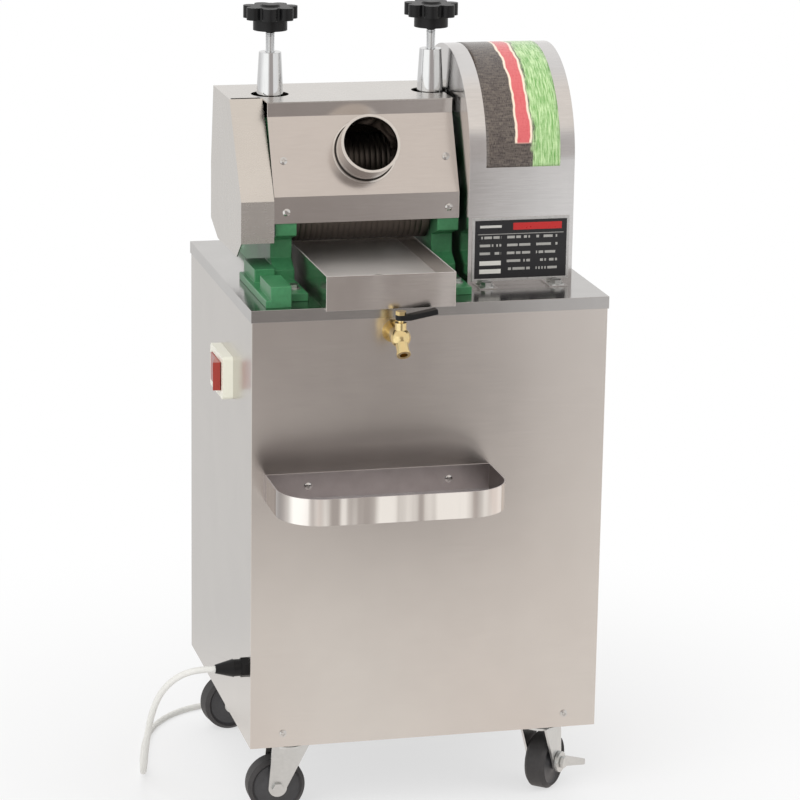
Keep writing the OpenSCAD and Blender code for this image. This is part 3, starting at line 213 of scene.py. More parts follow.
# %% A socket that can be added and multiplied
class Wire:
    """One output of a node tree, for use in sums."""

    def __init__(self, tree, socket=None):
        self.tree, self.socket = tree, socket

    def node(self, kind, settings=None, values=None, out=0):
        """Add a node: its settings first, then the values or links of its inputs."""
        made = self.tree.nodes.new(kind)
        for name, value in (settings or {}).items():
            setattr(made, name, value)
        for key, value in (values or {}).items():
            if isinstance(value, Wire):
                self.tree.links.new(value.socket, made.inputs[key])
            else:
                made.inputs[key].default_value = value
        return Wire(self.tree, made.outputs[out] if len(made.outputs) else None)

    def sum(self, operation, first, second=0.0):
        return self.node("ShaderNodeMath", {"operation": operation}, {0: first, 1: second})

    def __add__(self, other):
        return self.sum("ADD", self, other)

    def __sub__(self, other):
        return self.sum("SUBTRACT", self, other)

    def __rsub__(self, other):
        return self.sum("SUBTRACT", other, self)

    def __mul__(self, other):
        return self.sum("MULTIPLY", self, other)

    def __truediv__(self, other):
        return self.sum("DIVIDE", self, other)

    def __rtruediv__(self, other):
        return self.sum("DIVIDE", other, self)

    def __pow__(self, other):
        return self.sum("POWER", self, other)

    def __rpow__(self, other):
        return self.sum("POWER", other, self)

    def __mod__(self, other):
        return self.sum("FLOORED_MODULO", self, other)

    def __rmod__(self, other):
        return self.sum("FLOORED_MODULO", other, self)

    def __gt__(self, other):
        return self.sum("GREATER_THAN", self, other)

    def __lt__(self, other):
        return self.sum("LESS_THAN", self, other)

    def __abs__(self):
        return self.sum("ABSOLUTE", self)

    def __floor__(self):
        return self.sum("FLOOR", self)

    __radd__ = __add__
    __rmul__ = __mul__

    def at_most(self, other):
        """The lesser of two values."""
        return self.sum("MINIMUM", self, other)

    def smooth(self, low, high):
        """0 below low, 1 above high, eased between."""
        return self.node("ShaderNodeMapRange", {"interpolation_type": "SMOOTHSTEP"},
            {"Value": self, "From Min": low, "From Max": high})

    def mix(self, low, high):
        """Colour from low to high, by this value."""
        return self.node("ShaderNodeMix", {"data_type": "RGBA"}, {0: self, 6: low, 7: high}, 2)

    def vector(self, operation, other=(0.0, 0.0, 0.0), out=0):
        """Vector Math on this vector and another."""
        return self.node("ShaderNodeVectorMath", {"operation": operation}, {0: self, 1: other}, out)

    def by(self, factors):
        """This vector, each part multiplied."""
        return self.vector("MULTIPLY", factors)

    def dot(self, other):
        """How far this vector goes along another."""
        return self.vector("DOT_PRODUCT", other, "Value")

    def length(self):
        """How long this vector is."""
        return self.vector("LENGTH", out="Value")

    def part(self, axis):
        """One coordinate of this vector."""
        return self.node("ShaderNodeSeparateXYZ", None, {0: self}, axis)

    def noise(self, scale, detail=4.0, rough=0.55):
        """Cloudy value about 0.5 at this place."""
        return self.node("ShaderNodeTexNoise", None,
            {"Vector": self, "Scale": scale, "Detail": detail, "Roughness": rough})

    def bump(self, depth, strength=1.0, under=None):
        """Normal of a surface raised by this value over a depth in metres, on an earlier normal."""
        sockets = {"Strength": strength, "Distance": depth, "Height": self}
        return self.node("ShaderNodeBump", None, sockets | ({"Normal": under} if under else {}))


print("sums ready")

# %% [markdown]
# ## Starting a finish
#
# Every finish starts from a place on the solid, measured in the machine's own metres, so grain and
# scratches keep their true size on a large panel and on a small screw alike. Colours are written as
# a painter's 0 to 255 and turned into light here. No surface is one flat colour, so each colour also
# has a darker and a lighter neighbour.

# %% Starting and closing a finish
def shade(red, green, blue):
    """A colour from 0 to 255, as light."""
    return tuple((c / 255 / 12.92 if c < 10.3 else ((c / 255 + 0.055) / 1.055) ** 2.4)
        for c in (red, green, blue)) + (1.0,)


def spread(colour, share):
    """A darker and a lighter neighbour of a colour."""
    return (tuple(c * (1 - share) for c in colour[:3]) + (1.0,),
        tuple(min(c * (1 + share), 1.0) for c in colour[:3]) + (1.0,))


def begin(name):
    """New empty material, and the place on the surface."""
    material = bpy.data.materials.new(name)
    material.use_nodes = True
    material.node_tree.nodes.clear()
    return material, Wire(material.node_tree).node("ShaderNodeTexCoord", out="Object")


def close(material, place, sockets):
    """The surface shader with its sockets."""
    shader = place.node("ShaderNodeBsdfPrincipled", None, sockets)
    place.node("ShaderNodeOutputMaterial", None, {"Surface": shader})
    return material


print("white is", [round(c, 2) for c in shade(255, 255, 255)])

# %% Asking where a place lies
def facing(place):
    """Direction that a face looks in."""
    return place.node("ShaderNodeNewGeometry", out="True Normal")


def about_axis(place, root, axis):
    """How far along an axis a place lies from its root, and how far out from it."""
    arm = place.vector("SUBTRACT", root)
    along = arm.dot(axis)
    return along, (arm.length() ** 2 - along ** 2) ** 0.5


def between(value, low, high):
    """1 from low to high, else 0."""
    return (value > low) * (value < high)


print("masks ready")

# %% [markdown]
# ## Metals
#
# The panels are satin stainless, rolled with a faint horizontal grain that smears a reflection up
# and down. The tray, cover and guard are polished brighter, and thin sheet is never flat, so their
# reflections waver. Plated forks and screws are duller and mottled.
# One function serves them all: fine lines stretched along the grain, a broad cloud of handling
# marks, and a slow wave in the sheet. A stretched roughness tilts the lines' glint the right way.
# Where juice and cane scrape, level faces are worn grey, and a mask can name places that get painted
# shade.

# %% One function for every metal
# Painted shade: a dark tone laid on faces that lie in shade.
PAINTED_SHADE_TONE = shade(66, 63, 60)
HANGING = (1.0, 1.0, 0.3)
LINE_DEPTH = 0.00001
WORN_ROUGH = 0.25


def metal(name, colour, rough, grain=(1, 1, 1), lines=900, marks=0.05, wave=0.0, stretch=0.0,
        ripple=7, mottle=0.06, worn=0.0, painted_shade_mask=None):
    """A metal by its colour and roughness, lines, marks, waves, glint, mottle, wear and painted shade.
    """
    material, place = begin(name)
    fine = place.by(grain).noise(lines, 2.0)
    cloud = place.noise(16, 5.0)
    smear = place.by(HANGING).noise(60, 3.0)
    tone = (fine * 0.4 + cloud * 0.6).smooth(0.3, 0.7)
    normal = fine.bump(LINE_DEPTH, 0.12)
    if wave:
        normal = place.by(HANGING).noise(ripple, 1.0, 0.4).bump(wave, 1.0, normal)
    sockets = {"Base Color": tone.mix(*spread(colour, mottle)), "Metallic": 1.0, "Normal": normal,
        "Roughness": rough + (fine - 0.5) * 0.03 + (cloud + smear - 1.0) * marks,
        "Anisotropic": stretch, "Anisotropic Rotation": 0.25}
    if worn:
        flat = abs(facing(place).part(2)).smooth(0.4, 0.6)
        sockets["Metallic"] = 1 - flat * worn
        sockets["Roughness"] = sockets["Roughness"] + flat * WORN_ROUGH
    # Painted shade: where the mask says, the colour turns dark.
    if painted_shade_mask:
        sockets["Base Color"] = painted_shade_mask(place).mix(sockets["Base Color"], PAINTED_SHADE_TONE)
    return close(material, place, sockets)


print("metals can be made")

# %% [markdown]
# ## Painted shade
#
# The inside of the roller cover and the crease where the feed tube meets its collar lie in shade,
# and that shade is painted dark into their colour. Both could be faces with materials of their own,
# but the solids stay whole, so a sum finds the places: faces that look to the cover's middle, and a
# thin ring about the tube's axis.

# %% Painted shade inside the cover and at the tube's seam
TUBE_LEAN, TUBE_R, COLLAR_R, COLLAR_H = math.atan2(78, 37), 31.5 * MM, 34.5 * MM, 2 * MM
SEAM = 1.2 * MM


def cover_inside_shade(place):
    """1 on faces that look towards the middle of the roller cover, where shade is painted, else 0."""
    low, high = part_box("roller_cover")
    return facing(place).dot(place.vector("SUBTRACT", (low + high) / 2)) < 0.0


def tube_seam_shade(place):
    """1 on a thin ring of painted shade where the feed tube leaves its collar, else 0."""
    low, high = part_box("feed_tube")
    lean = Vector((0, -math.sin(TUBE_LEAN), math.cos(TUBE_LEAN)))
    root = Vector(((low.x + high.x) / 2, high.y - COLLAR_R * lean.z, low.z - COLLAR_R * lean.y))
    along, reach = about_axis(place, root, lean)
    return (along < COLLAR_H + SEAM / 2) * (reach < TUBE_R + SEAM)


print("tube leans", round(math.degrees(TUBE_LEAN)), "degrees from upright")

# %% Stainless sheet
ROLLED, BRUSHED = (0.02, 0.02, 1), (0.05, 1, 1)
# Painted light: the front panel is the sides' satin steel painted lighter, so its reflection shows
# brighter than theirs.
front_sheet_painted_lighter = metal("front_sheet_painted_lighter", shade(211, 205, 200), 0.24, ROLLED, 1500, 0.02, 0.0007, 0.6,
    mottle=0.025)
satin_panel = metal("satin_panel", shade(201, 197, 193), 0.25, ROLLED, 1500, 0.03, 0.0005, 0.6,
    mottle=0.03)
# The inside faces of the cover carry painted shade.
cover_sheet = metal("cover_sheet", shade(213, 209, 204), 0.27, BRUSHED, 900, 0.03, 0.0003,
    mottle=0.03, painted_shade_mask=cover_inside_shade)
chute_sheet = metal("chute_sheet", shade(205, 201, 196), 0.27, BRUSHED, 900, 0.05, 0.0003)
feed_sheet = metal("feed_sheet", shade(202, 196, 192), 0.18, BRUSHED, 900, 0.03, 0.0003, mottle=0.03)
# A thin ring of painted shade sits where the tube leaves its collar.
tube_steel = metal("tube_steel", shade(214, 210, 206), 0.07, (1, 1, 1), 700, 0.06, painted_shade_mask=tube_seam_shade)
guard_sheet = metal("guard_sheet", shade(215, 213, 212), 0.15, BRUSHED, 900, 0.05, 0.0007)
tray_sheet = metal("tray_sheet", shade(213, 207, 202), 0.2, BRUSHED, 900, 0.08, 0.0016,
    ripple=18, worn=0.85)
lid_sheet = metal("lid_sheet", shade(183, 181, 179), 0.17, (0.03, 1, 1), 1300, 0.07, 0.0006)
print(len(bpy.data.materials), "materials so far")

# %% Plated, turned and cast metal
EVEN = (1, 1, 1)
screw_steel = metal("screw_steel", shade(204, 202, 200), 0.14, EVEN, 400, 0.08)
zinc_plate = metal("zinc_plate", shade(206, 207, 206), 0.34, EVEN, 260, 0.16)
galvanised = metal("galvanised_sheet", shade(180, 184, 188), 0.42, EVEN, 120, 0.2)
chrome = metal("chrome_plate", shade(217, 218, 219), 0.07, (1, 1, 0.05), 700, 0.05)
turned_steel = metal("turned_steel", shade(98, 91, 86), 0.5, (0.04, 1, 1), 500, 0.12)
cast_gear = metal("cut_gear_iron", shade(120, 118, 116), 0.42, EVEN, 300, 0.18)
bronze = metal("bearing_bronze", shade(176, 128, 72), 0.34, EVEN, 300, 0.15)
brass = metal("tap_brass", shade(226, 204, 152), 0.2, EVEN, 260, 0.16)
print(len(bpy.data.materials), "materials so far")

# %% [markdown]
# ## The polished shelf
#
# The cup shelf's outer wall is the brightest steel on the machine, with a painted reflection of light
# and dark bands running from top to bottom. Cups have scuffed its floor, and the inside of its walls
# is painted with shade. It could be cut into two pieces; here the face's direction tells the outside
# from the inside. A small lean of the normal turns the wall's shine towards the ground, as the
# slightly rolled real wall does.

# %% Cup shelf
SHELF_X, SHELF_BACK, SHELF_CLEAR = -38 * MM, -129 * MM, -134 * MM
LEAN, WALL_WAVE = 0.1, 0.0016


def shelf_finish():
    """Outside with painted reflection bands, a scuffed floor, and painted shade on the inner walls."""
    material, place = begin("shelf_sheet")
    look = facing(place)
    outward = look.part(0) * (place.part(0) - SHELF_X) * 10 - look.part(1)
    wall = (1 - abs(look.part(2))).smooth(0.4, 0.6)
    away = outward.smooth(0.0, 0.2)
    outside = wall * away * place.part(1).smooth(SHELF_BACK, SHELF_CLEAR)
    # Painted reflection: light and dark bands down the outer wall.
    reflection_band = place.by((1.0, 0.3, 0.02)).noise(44, 2.0)
    scuff = place.noise(70, 4.0)
    floor_scuff_and_wall_shade = scuff.mix(shade(180, 174, 174), shade(206, 201, 201))
    # Painted shade on the inside of the walls.
    floor_scuff_and_wall_shade = (wall * (1 - away)).mix(floor_scuff_and_wall_shade, shade(120, 113, 110))
    painted_reflection_tone = reflection_band.smooth(0.38, 0.6).mix(shade(164, 157, 153), shade(236, 232, 228))
    roll = place.by((1.0, 1.0, 0.1)).noise(16, 1.0, 0.4).bump(WALL_WAVE)
    return close(material, place, {
        "Base Color": outside.mix(floor_scuff_and_wall_shade, painted_reflection_tone), "Metallic": 0.5 + wall * 0.5,
        "Roughness": 0.3 - outside * 0.2 + (scuff - 0.5) * 0.08,
        "Normal": (place.part(2) * LEAN).bump(1.0, 1.0, roll)})


shelf_sheet = shelf_finish()
print(len(bpy.data.materials), "materials so far")

# %% [markdown]
# ## Painted iron, plastics and rubber
#
# The mill's frames are cast iron under green enamel: the paint softens the casting's skin into
# slow dimples and shines through a clear top layer. Moulded plastics have a much finer grain.
# The same recipe of grain, mottle and gloss makes them all.

# %% Paint, plastic and rubber
def moulded(name, colour, rough, grain, depth, mottle=0.1, gloss=0.0, shine=0.5):
    """Paint or plastic by its colour, roughness, grain and its depth, mottle and gloss."""
    material, place = begin(name)
    skin = place.noise(grain, 3.0)
    patch = place.noise(22, 4.0)
    tone = (patch * 0.7 + skin * 0.3).smooth(0.32, 0.68)
    return close(material, place, {
        "Base Color": tone.mix(*spread(colour, mottle)),
        "Roughness": rough + (patch - 0.5) * 0.12 + (skin - 0.5) * 0.1,
        "Normal": skin.bump(depth, 0.5), "Coat Weight": gloss, "Coat Roughness": 0.08,
        "Specular IOR Level": shine})


green_enamel = moulded("green_enamel", shade(64, 126, 84), 0.36, 260, 0.0004, 0.18, 0.2, 0.3)
motor_paint = moulded("motor_paint", shade(74, 88, 98), 0.45, 300, 0.0003, 0.1)
black_plastic = moulded("black_plastic", shade(20, 20, 21), 0.4, 1400, 0.00006, 0.15, shine=0.25)
strap_black = moulded("strap_black", shade(40, 40, 42), 0.6, 900, 0.0001, 0.15)
switch_ivory = moulded("switch_ivory", shade(240, 239, 224), 0.34, 1200, 0.00004, 0.02, 0.2)
rocker_red = moulded("rocker_red", shade(158, 52, 40), 0.3, 1200, 0.00004, 0.06, 0.3)
cord_white = moulded("cord_white", shade(228, 227, 222), 0.42, 900, 0.00005, 0.03)
belt_rubber = moulded("belt_rubber", shade(30, 30, 30), 0.7, 800, 0.0002, 0.2)
print(len(bpy.data.materials), "materials so far")

# %% [markdown]
# ## Caster wheels
#
# A wheel is one turned piece, but its tread is rubber and its middle a hard hub. Two solids could be
# made; instead the finish asks how far a place lies from the axle and changes there.

# %% Tyre and hub
TYRE_IN, TYRE_EASE = 24.5 * MM, 1 * MM
CASTER_TURNS = {"fl": 180, "fr": 50, "rl": 190, "rr": 205}


def wheel_finish(tag):
    """Rubber tread round a hard hub, about this caster's own axle."""
    low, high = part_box("caster_wheel_" + tag)
    turn = math.radians(CASTER_TURNS[tag])
    material, place = begin("wheel_" + tag)
    reach = about_axis(place, (low + high) / 2, (-math.sin(turn), math.cos(turn), 0))[1]
    tyre = reach.smooth(TYRE_IN, TYRE_IN + TYRE_EASE)
    dust = place.noise(180, 4.0)
    rubber = dust.mix(shade(40, 39, 40), shade(66, 64, 64))
    core = dust.mix(shade(52, 52, 54), shade(70, 70, 72))
    return close(material, place, {"Base Color": tyre.mix(core, rubber),
        "Roughness": 0.4 + tyre * 0.2 + (dust - 0.5) * 0.2,
        "Normal": place.noise(1200, 2.0).bump(0.0001, 0.4)})


wheels = {"caster_wheel_" + tag: wheel_finish(tag) for tag in CASTER_TURNS}
print(len(wheels), "wheels")

# %% [markdown]
# ## Print on the rating plate
#
# The black plate on the guard has an aluminium rim and printed rows. It carries no words here: a
# red bar, pale ticks in columns and two blank boxes hold the same weight of colour. Ink has no
# thickness, so it is a mask on the plate's own finish and not geometry. The places of the print are
# shares of the plate's width and height.

# %% Rating plate
PLATE_LOW, PLATE_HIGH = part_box("nameplate")
PLATE_W, PLATE_H = PLATE_HIGH.x - PLATE_LOW.x, PLATE_HIGH.z - PLATE_LOW.z
PLATE_RIM = 3 * MM
LEFT, MIDDLE, RIGHT = (0.08, 0.30), (0.36, 0.60), (0.66, 0.88)
ROWS, TICKS, BLANKS = 8.0, 64.0, 0.3


def plate_ink(place, u, v):
    """Colour of the print by shares of width and height."""
    red = between(u, 0.42, 0.92) * between(v, 0.80, 0.91)
    title = between(u, *LEFT) * between(v, 0.84, 0.88)
    rule = between(u, 0.06, 0.94) * between(v, 0.735, 0.745)
    boxes = between(u, *LEFT) * (between(v, 0.12, 0.19) + between(v, 0.25, 0.32))
    row = v * ROWS
    cell = place.node("ShaderNodeCombineXYZ", None, {0: math.floor(u * TICKS), 1: math.floor(row)})
    chance = cell.node("ShaderNodeTexWhiteNoise", {"noise_dimensions": "2D"}, {"Vector": cell})
    columns = between(u, *MIDDLE) + between(u, *RIGHT) + between(u, *LEFT) * (v > 0.36)
    lines = between(row % 1.0, 0.34, 0.66) * between(v, 0.1, 0.72)
    ticks = columns * lines * (chance > BLANKS)
    pale = (boxes + ticks * 0.55 + rule * 0.5 + title * 0.8).at_most(1.0)
    return red.mix(pale.mix(shade(24, 24, 27), shade(216, 214, 208)), shade(186, 34, 34))


def rating_plate():
    """Printed black field in an aluminium rim."""
    material, place = begin("rating_plate")
    x, z = place.part(0) - PLATE_LOW.x, place.part(2) - PLATE_LOW.z
    field = between(x, PLATE_RIM, PLATE_W - PLATE_RIM) * between(z, PLATE_RIM, PLATE_H - PLATE_RIM)
    wear = place.noise(300, 3.0)
    rim = wear.mix(shade(190, 190, 190), shade(222, 222, 221))
    return close(material, place, {
        "Base Color": field.mix(rim, plate_ink(place, x / PLATE_W, z / PLATE_H)),
        "Metallic": 1 - field, "Roughness": 0.3 + (wear - 0.5) * 0.15,
        "Normal": wear.bump(0.00003, 0.3)})


plate_print = rating_plate()
print("rating plate", round(PLATE_W / MM), "mm wide")

# %% [markdown]
# ## Dressing the solids
#
# Each solid takes the finish of its metal, paint or plastic. Real edges are never razor sharp: a
# small bevel catches the light. The solids themselves stay as they are, so the bevel is a modifier.
# Their faces arrive unjoined, each with its own stored shading, and a plain weld would bend that
# shading. A small node group joins the corners, drops what was stored and shades again by angle.

# %% Finishes by solid
DRESS = {
    front_sheet_painted_lighter: ["front_panel"],
    satin_panel: ["left_side_panel", "right_side_panel", "back_panel"],
    lid_sheet: ["top_plate"],
    cover_sheet: ["roller_cover"],
    chute_sheet: ["bagasse_chute", "drain_pipe"],
    feed_sheet: ["feed_plate"],
    tube_steel: ["feed_tube"],
    guard_sheet: ["gear_guard"],
    tray_sheet: ["juice_tray"],
    shelf_sheet: ["cup_shelf"],
    galvanised: ["base_plate"],
    screw_steel: ["panel_screws"],
    zinc_plate: ["hex_bolts", "caster_plates", "caster_fork_fl", "caster_fork_fr",
        "caster_fork_rl", "caster_fork_rr", "brake_pedal"],
    chrome: ["press_sleeves", "press_screw_left", "press_screw_right"],
    turned_steel: ["top_roller", "front_roller", "rear_roller", "press_pad_left", "press_pad_right"],
    cast_gear: ["top_gear", "front_gear", "rear_gear", "driven_pulley", "drive_pulley"],
    bronze: ["lower_bushes", "top_bearing_blocks"],
    brass: ["tap_body", "tap_stem"],
    green_enamel: ["mill_frame_left", "mill_frame_right"],
    motor_paint: ["motor", "gearbox"],
    black_plastic: ["knob_left", "knob_right", "tap_lever", "cable_gland"],
    switch_ivory: ["switch_box"],
    rocker_red: ["rocker"],
    cord_white: ["mains_plug"],
    belt_rubber: ["v_belt"],
    plate_print: ["nameplate"],
}
HIDDEN = {"power_cord", "cord_coil"}
finishes = {name: material for material, names in DRESS.items() for name in names} | wheels
for name, material in finishes.items():
    for holder in nodes[name].material_slots:
        holder.material = material
mains_lead.data.materials.append(cord_white)
cable_strap.data.materials.append(strap_black)
print("solids without a finish:", sorted(set(nodes) - HIDDEN - set(finishes)))

# %% Joined corners
ROUND, FOLDED = math.radians(32), math.radians(12)
WELD = 0.002 * MM


def corner_group(name, sharp):
    """A node group that joins a solid's corners and shades it smooth up to an angle."""
    group = bpy.data.node_groups.new(name, "GeometryNodeTree")
    for way in ("INPUT", "OUTPUT"):
        group.interface.new_socket("Geometry", in_out=way, socket_type="NodeSocketGeometry")
    solid = Wire(group).node("NodeGroupInput")
    bend = solid.node("GeometryNodeInputMeshEdgeAngle", out="Unsigned Angle")
    gentle = solid.node("FunctionNodeCompare", {"data_type": "FLOAT", "operation": "LESS_THAN"},
        {0: bend, 1: sharp})
    solid = solid.node("GeometryNodeMergeByDistance", None, {"Geometry": solid, "Distance": WELD})
    solid = solid.node("GeometryNodeRemoveAttribute", None,
        {"Geometry": solid, "Name": "custom_normal"})
    for domain, smooth in (("FACE", True), ("EDGE", gentle)):
        solid = solid.node("GeometryNodeSetShadeSmooth", {"domain": domain},
            {"Geometry": solid, "Shade Smooth": smooth})
    solid.node("NodeGroupOutput", None, {"Geometry": solid})
    return group


corners = {angle: corner_group(name, angle)
    for name, angle in (("round_corners", ROUND), ("folded_corners", FOLDED))}
print(len(corners), "ways to join corners")

# %% Soft edges
SOFT_EDGE = {"knob_left": 1.4, "knob_right": 1.4, "mill_frame_left": 1.2, "mill_frame_right": 1.2,
    "tap_lever": 1.0, "switch_box": 1.0, "rocker": 0.8, "mains_plug": 1.2, "gearbox": 2.0}
SHEET_EDGE = 0.4
FOLDS = ("feed_plate", "roller_cover")


def soften(name, width):
    """Join a solid's corners and round its edges a little."""
    angle = FOLDED if name in FOLDS else ROUND
    nodes[name].modifiers.new("corners", "NODES").node_group = corners[angle]
    edge = nodes[name].modifiers.new("edge", "BEVEL")
    edge.width, edge.segments = width * MM, 2
    edge.limit_method, edge.angle_limit = "ANGLE", angle
    edge.harden_normals = True


for name in sorted(set(nodes) - HIDDEN):
    soften(name, SOFT_EDGE.get(name, SHEET_EDGE))
print(len(set(nodes) - HIDDEN), "solids with soft edges")

# %% [markdown]
# ## Printed film on the guard
#
# A glossy film lies over the guard's arch. It is a strip of mesh that follows the arch a fraction
# of a millimetre proud, thick enough to show its edge. Its print is generic: brown cloth, a field
# of green blades and a plain red ribbon between them, all drawn from the strip's own coordinates.

# %% Film over the arch
GUARD_LOW, GUARD_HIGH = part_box("gear_guard")
GUARD_R, FILM_T = 110 * MM, 0.25 * MM
FILM_LEFT, FILM_RIGHT = 18 * MM, 16 * MM
FILM_W = GUARD_HIGH.x - GUARD_LOW.x - FILM_LEFT - FILM_RIGHT
FILM_FROM, FILM_TO = math.radians(-2), math.radians(122)
FILM_COLUMNS, FILM_ROWS = 16, 72
AXIS_Y, AXIS_Z = (GUARD_LOW.y + GUARD_HIGH.y) / 2, GUARD_HIGH.z - GUARD_R


def film_point(u, v):
    """Place on the arch by shares of the film's width and length."""
    turn = FILM_FROM + v * (FILM_TO - FILM_FROM)
    reach = GUARD_R + FILM_T
    return Vector((GUARD_LOW.x + FILM_LEFT + u * FILM_W, AXIS_Y - reach * math.cos(turn),
        AXIS_Z + reach * math.sin(turn)))


wide = FILM_COLUMNS + 1
grid = [(i / FILM_COLUMNS, j / FILM_ROWS) for j in range(FILM_ROWS + 1) for i in range(wide)]
film_faces = [(r * wide + c, r * wide + c + 1, (r + 1) * wide + c + 1, (r + 1) * wide + c)
    for r in range(FILM_ROWS) for c in range(FILM_COLUMNS)]
guard_film = new_piece("guard_film", [film_point(u, v) for u, v in grid], film_faces)
film_map = guard_film.data.uv_layers.new(name="film")
for loop in guard_film.data.loops:
    film_map.data[loop.index].uv = grid[loop.vertex_index]
thick = guard_film.modifiers.new("thickness", "SOLIDIFY")
thick.thickness, thick.offset = FILM_T * 0.8, -1
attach(guard_film, "cabinet")
print("film of", len(film_faces), "faces")

# %% Print of the film
RIBBON_AT, RIBBON_FOOT, FRINGE_AT = 0.50, 0.10, 0.60


def film_print():
    """Brown cloth, green blades and a red ribbon with a pale edge, under gloss."""
    material, place = begin("film_print")
    spot = place.node("ShaderNodeTexCoord", out="UV")
    u, v = spot.part(0), spot.part(1)
    weft = spot.by((8.0, 120.0, 1.0)).noise(1.0, 2.0)
    threads = spot.by((46.0, 20.0, 1.0)).noise(3.0, 3.0) * 0.6 + weft * 0.4
    cloth = threads.smooth(0.4, 0.66).mix(shade(66, 58, 56), shade(118, 108, 98))
    sway = (spot.by((2.0, 9.0, 1.0)).noise(1.0, 2.0) - 0.5) * 0.16
    blades = spot.by((30.0, 9.0, 1.0)).noise(1.6, 5.0, 0.7)
    leaf = blades.smooth(0.32, 0.68).mix(shade(96, 158, 70), shade(206, 232, 176))
    fringe = (u + sway + (blades - 0.5) * 0.2).smooth(FRINGE_AT, FRINGE_AT + 0.06)
    ribbon = abs(u - RIBBON_AT + sway * 0.6)
    ends = v.smooth(RIBBON_FOOT, RIBBON_FOOT + 0.01)
    edge = (1 - ribbon.smooth(0.105, 0.12)) * ends
    band = (1 - ribbon.smooth(0.075, 0.09)) * ends
    faded = blades.mix(shade(204, 74, 80), shade(226, 122, 122))
    drawn = band.mix(edge.mix(fringe.mix(cloth, leaf), shade(244, 226, 204)), faded)
    return close(material, place, {"Base Color": drawn, "Roughness": 0.28 + (threads - 0.5) * 0.15,
        "Coat Weight": 0.3, "Coat Roughness": 0.1, "Normal": threads.bump(0.00004, 0.3)})


guard_film.data.materials.append(film_print())
print("film printed")

# %% [markdown]
# ## Pale paper to stand on
#
# The machine stands on pale paper, and the camera sees it as white with a soft shadow. Polished
# steel shows whatever lies in front of it, so to shiny faces the paper is a painted stage: bright
# close by, dull further out where the photographer stands, darkest at their feet, with a white
# card on the right and a window's light on the left. Real cards and screens could be set up
# instead, but they would have to be hidden from every other view.

# %% What shiny faces see on the paper
WHITE = shade(255, 255, 255)
WINDOW = (1.25, 1.25, 1.23, 1.0)
FEET_X, FEET_Y = 0.32, -1.4


def rays(place):
    """1 for what the camera sees, through glass too, and 1 for what shiny faces see."""
    seen, through, mirrored = (place.node("ShaderNodeLightPath", out=f"Is {kind} Ray")
        for kind in ("Camera", "Transmission", "Glossy"))
    return seen + through, mirrored


def paper_glow(place):
    """Painted light on the paper, in metres across and along."""
    across, along = place.part(0), place.part(1)
    band = place.by((1.0, 0.12, 0.0)).noise(2.6, 2.0).smooth(0.36, 0.62)
    near = band.mix(shade(246, 236, 230), shade(255, 252, 248))
    card = (across + along * 0.32).smooth(-0.08, 0.06) * across.smooth(0.66, 0.8)
    feet = abs(across - FEET_X).smooth(0.2, 0.08) * abs(along - FEET_Y).smooth(0.34, 0.14)
    glow = card.mix(shade(168, 162, 159), WHITE)
    glow = (along + across * 0.6).smooth(-1.7, -0.8).mix(glow, near)
    glow = feet.mix(glow, shade(40, 37, 36))
    glow = (along * 0.1 - across).smooth(0.0, 0.8).mix(glow, WINDOW)
    return along.smooth(0.0, 0.6).mix(glow, shade(230, 229, 228))


print("stage painted")

# %% Paper floor
PAPER_HALF, PAPER_DROP = 8, 0.5 * MM
paper_corners = [(x * PAPER_HALF, y * PAPER_HALF, -PAPER_DROP)
    for x, y in ((-1, -1), (1, -1), (1, 1), (-1, 1))]
floor = new_piece("paper", paper_corners, [(0, 1, 2, 3)], smooth=False)


def paper_finish():
    """Matt paper that fades to white for the camera and glows for shiny faces."""
    material, place = begin("paper")
    plain, mirrored = rays(place)
    far = place.length().smooth(0.2, 0.9)
    matte = place.node("ShaderNodeBsdfDiffuse", None, {"Color": shade(236, 236, 236)})
    white = place.node("ShaderNodeEmission", None, {"Color": WHITE, "Strength": 1.0})
    sheet = place.node("ShaderNodeMixShader", None,
        {0: plain * (0.6 + far * 0.4), 1: matte, 2: white})
    shown = place.node("ShaderNodeEmission", None, {"Color": paper_glow(place), "Strength": 1.0})
    surface = place.node("ShaderNodeMixShader", None, {0: mirrored, 1: sheet, 2: shown})
    place.node("ShaderNodeOutputMaterial", None, {"Surface": surface})
    return material


floor.data.materials.append(paper_finish())
print("paper laid,", 2 * PAPER_HALF, "m wide")

# %% [markdown]
# ## The room
#
# Above the paper the steel sees a room: a pale ceiling, pale walls behind, a window on the left and
# a duller side in front. A photographed panorama would give more, but plain sums of direction are
# enough for satin steel and need no picture. Matt faces get an even grey light from all round.

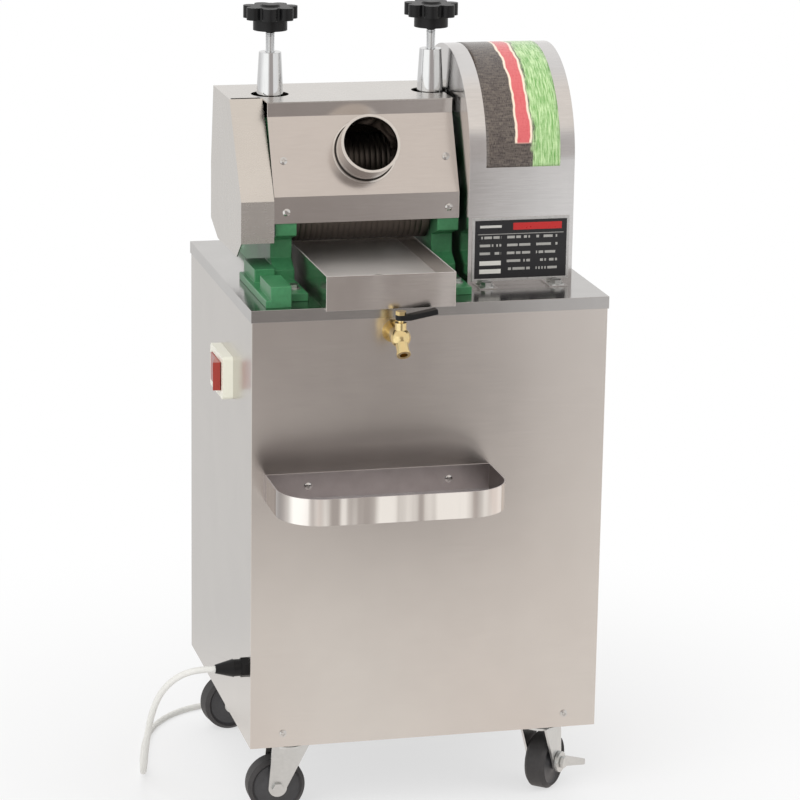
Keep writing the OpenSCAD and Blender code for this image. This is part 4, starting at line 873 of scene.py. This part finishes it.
# %% Room
AMBIENT = (0.5, 0.5, 0.5, 1.0)
room = bpy.data.worlds.new("room")
room.use_nodes = True
room.node_tree.nodes.clear()


def room_light(heading):
    """Colour of the room in each direction."""
    plain, mirrored = rays(heading)
    across, along, up = (heading.part(axis) for axis in range(3))
    dusk = (across + along * 0.32).smooth(-0.04, 0.05).mix(shade(178, 171, 168), shade(250, 249, 248))
    dusk = (along * 0.1 - across).smooth(0.1, 0.5).mix(dusk, WINDOW)
    front = up.smooth(0.28, 0.52).mix(dusk, shade(252, 245, 238))
    walls = along.smooth(-0.4, 0.3).mix(front, shade(248, 247, 246))
    return plain.mix(mirrored.mix(AMBIENT, walls), WHITE)


heading = Wire(room.node_tree).node("ShaderNodeTexCoord", out="Generated")
sky = heading.node("ShaderNodeBackground", None, {"Color": room_light(heading), "Strength": 1.0})
heading.node("ShaderNodeOutputWorld", None, {"Surface": sky})
scene.world = room
print("room painted")

# %% [markdown]
# ## Lamps
#
# Three broad square lamps give the soft light: the strongest on the left in front, a small one on
# the right and one overhead from behind. Round lamps or a sun would do, but a large square is the
# shape of a studio's soft box. They hide from shiny faces, so no hard square shows in the steel.

# %% Lamps
LAMPS = [("key_lamp", (-1.9, -1.9, 2.3), (0, 0, 0.45), 3.2, 72),
    ("side_lamp", (2.2, -1.0, 1.5), (0, 0, 0.4), 2.0, 20),
    ("top_lamp", (0.2, 0.9, 2.6), (0, 0, 0.5), 2.0, 18)]

for name, place, aim, size, watts in LAMPS:
    light = bpy.data.lights.new(name, "AREA")
    light.shape, light.size, light.energy = "SQUARE", size, watts
    holder = bpy.data.objects.new(name, light)
    holder.location = place
    holder.rotation_euler = (Vector(aim) - Vector(place)).to_track_quat("-Z", "Y").to_euler()
    holder.visible_glossy = False
    scene.collection.objects.link(holder)
print(len(LAMPS), "lamps lit")

# %% [markdown]
# ## The end
#
# The last call brings the view layer up to date.

# %% The end
bpy.context.view_layer.update()
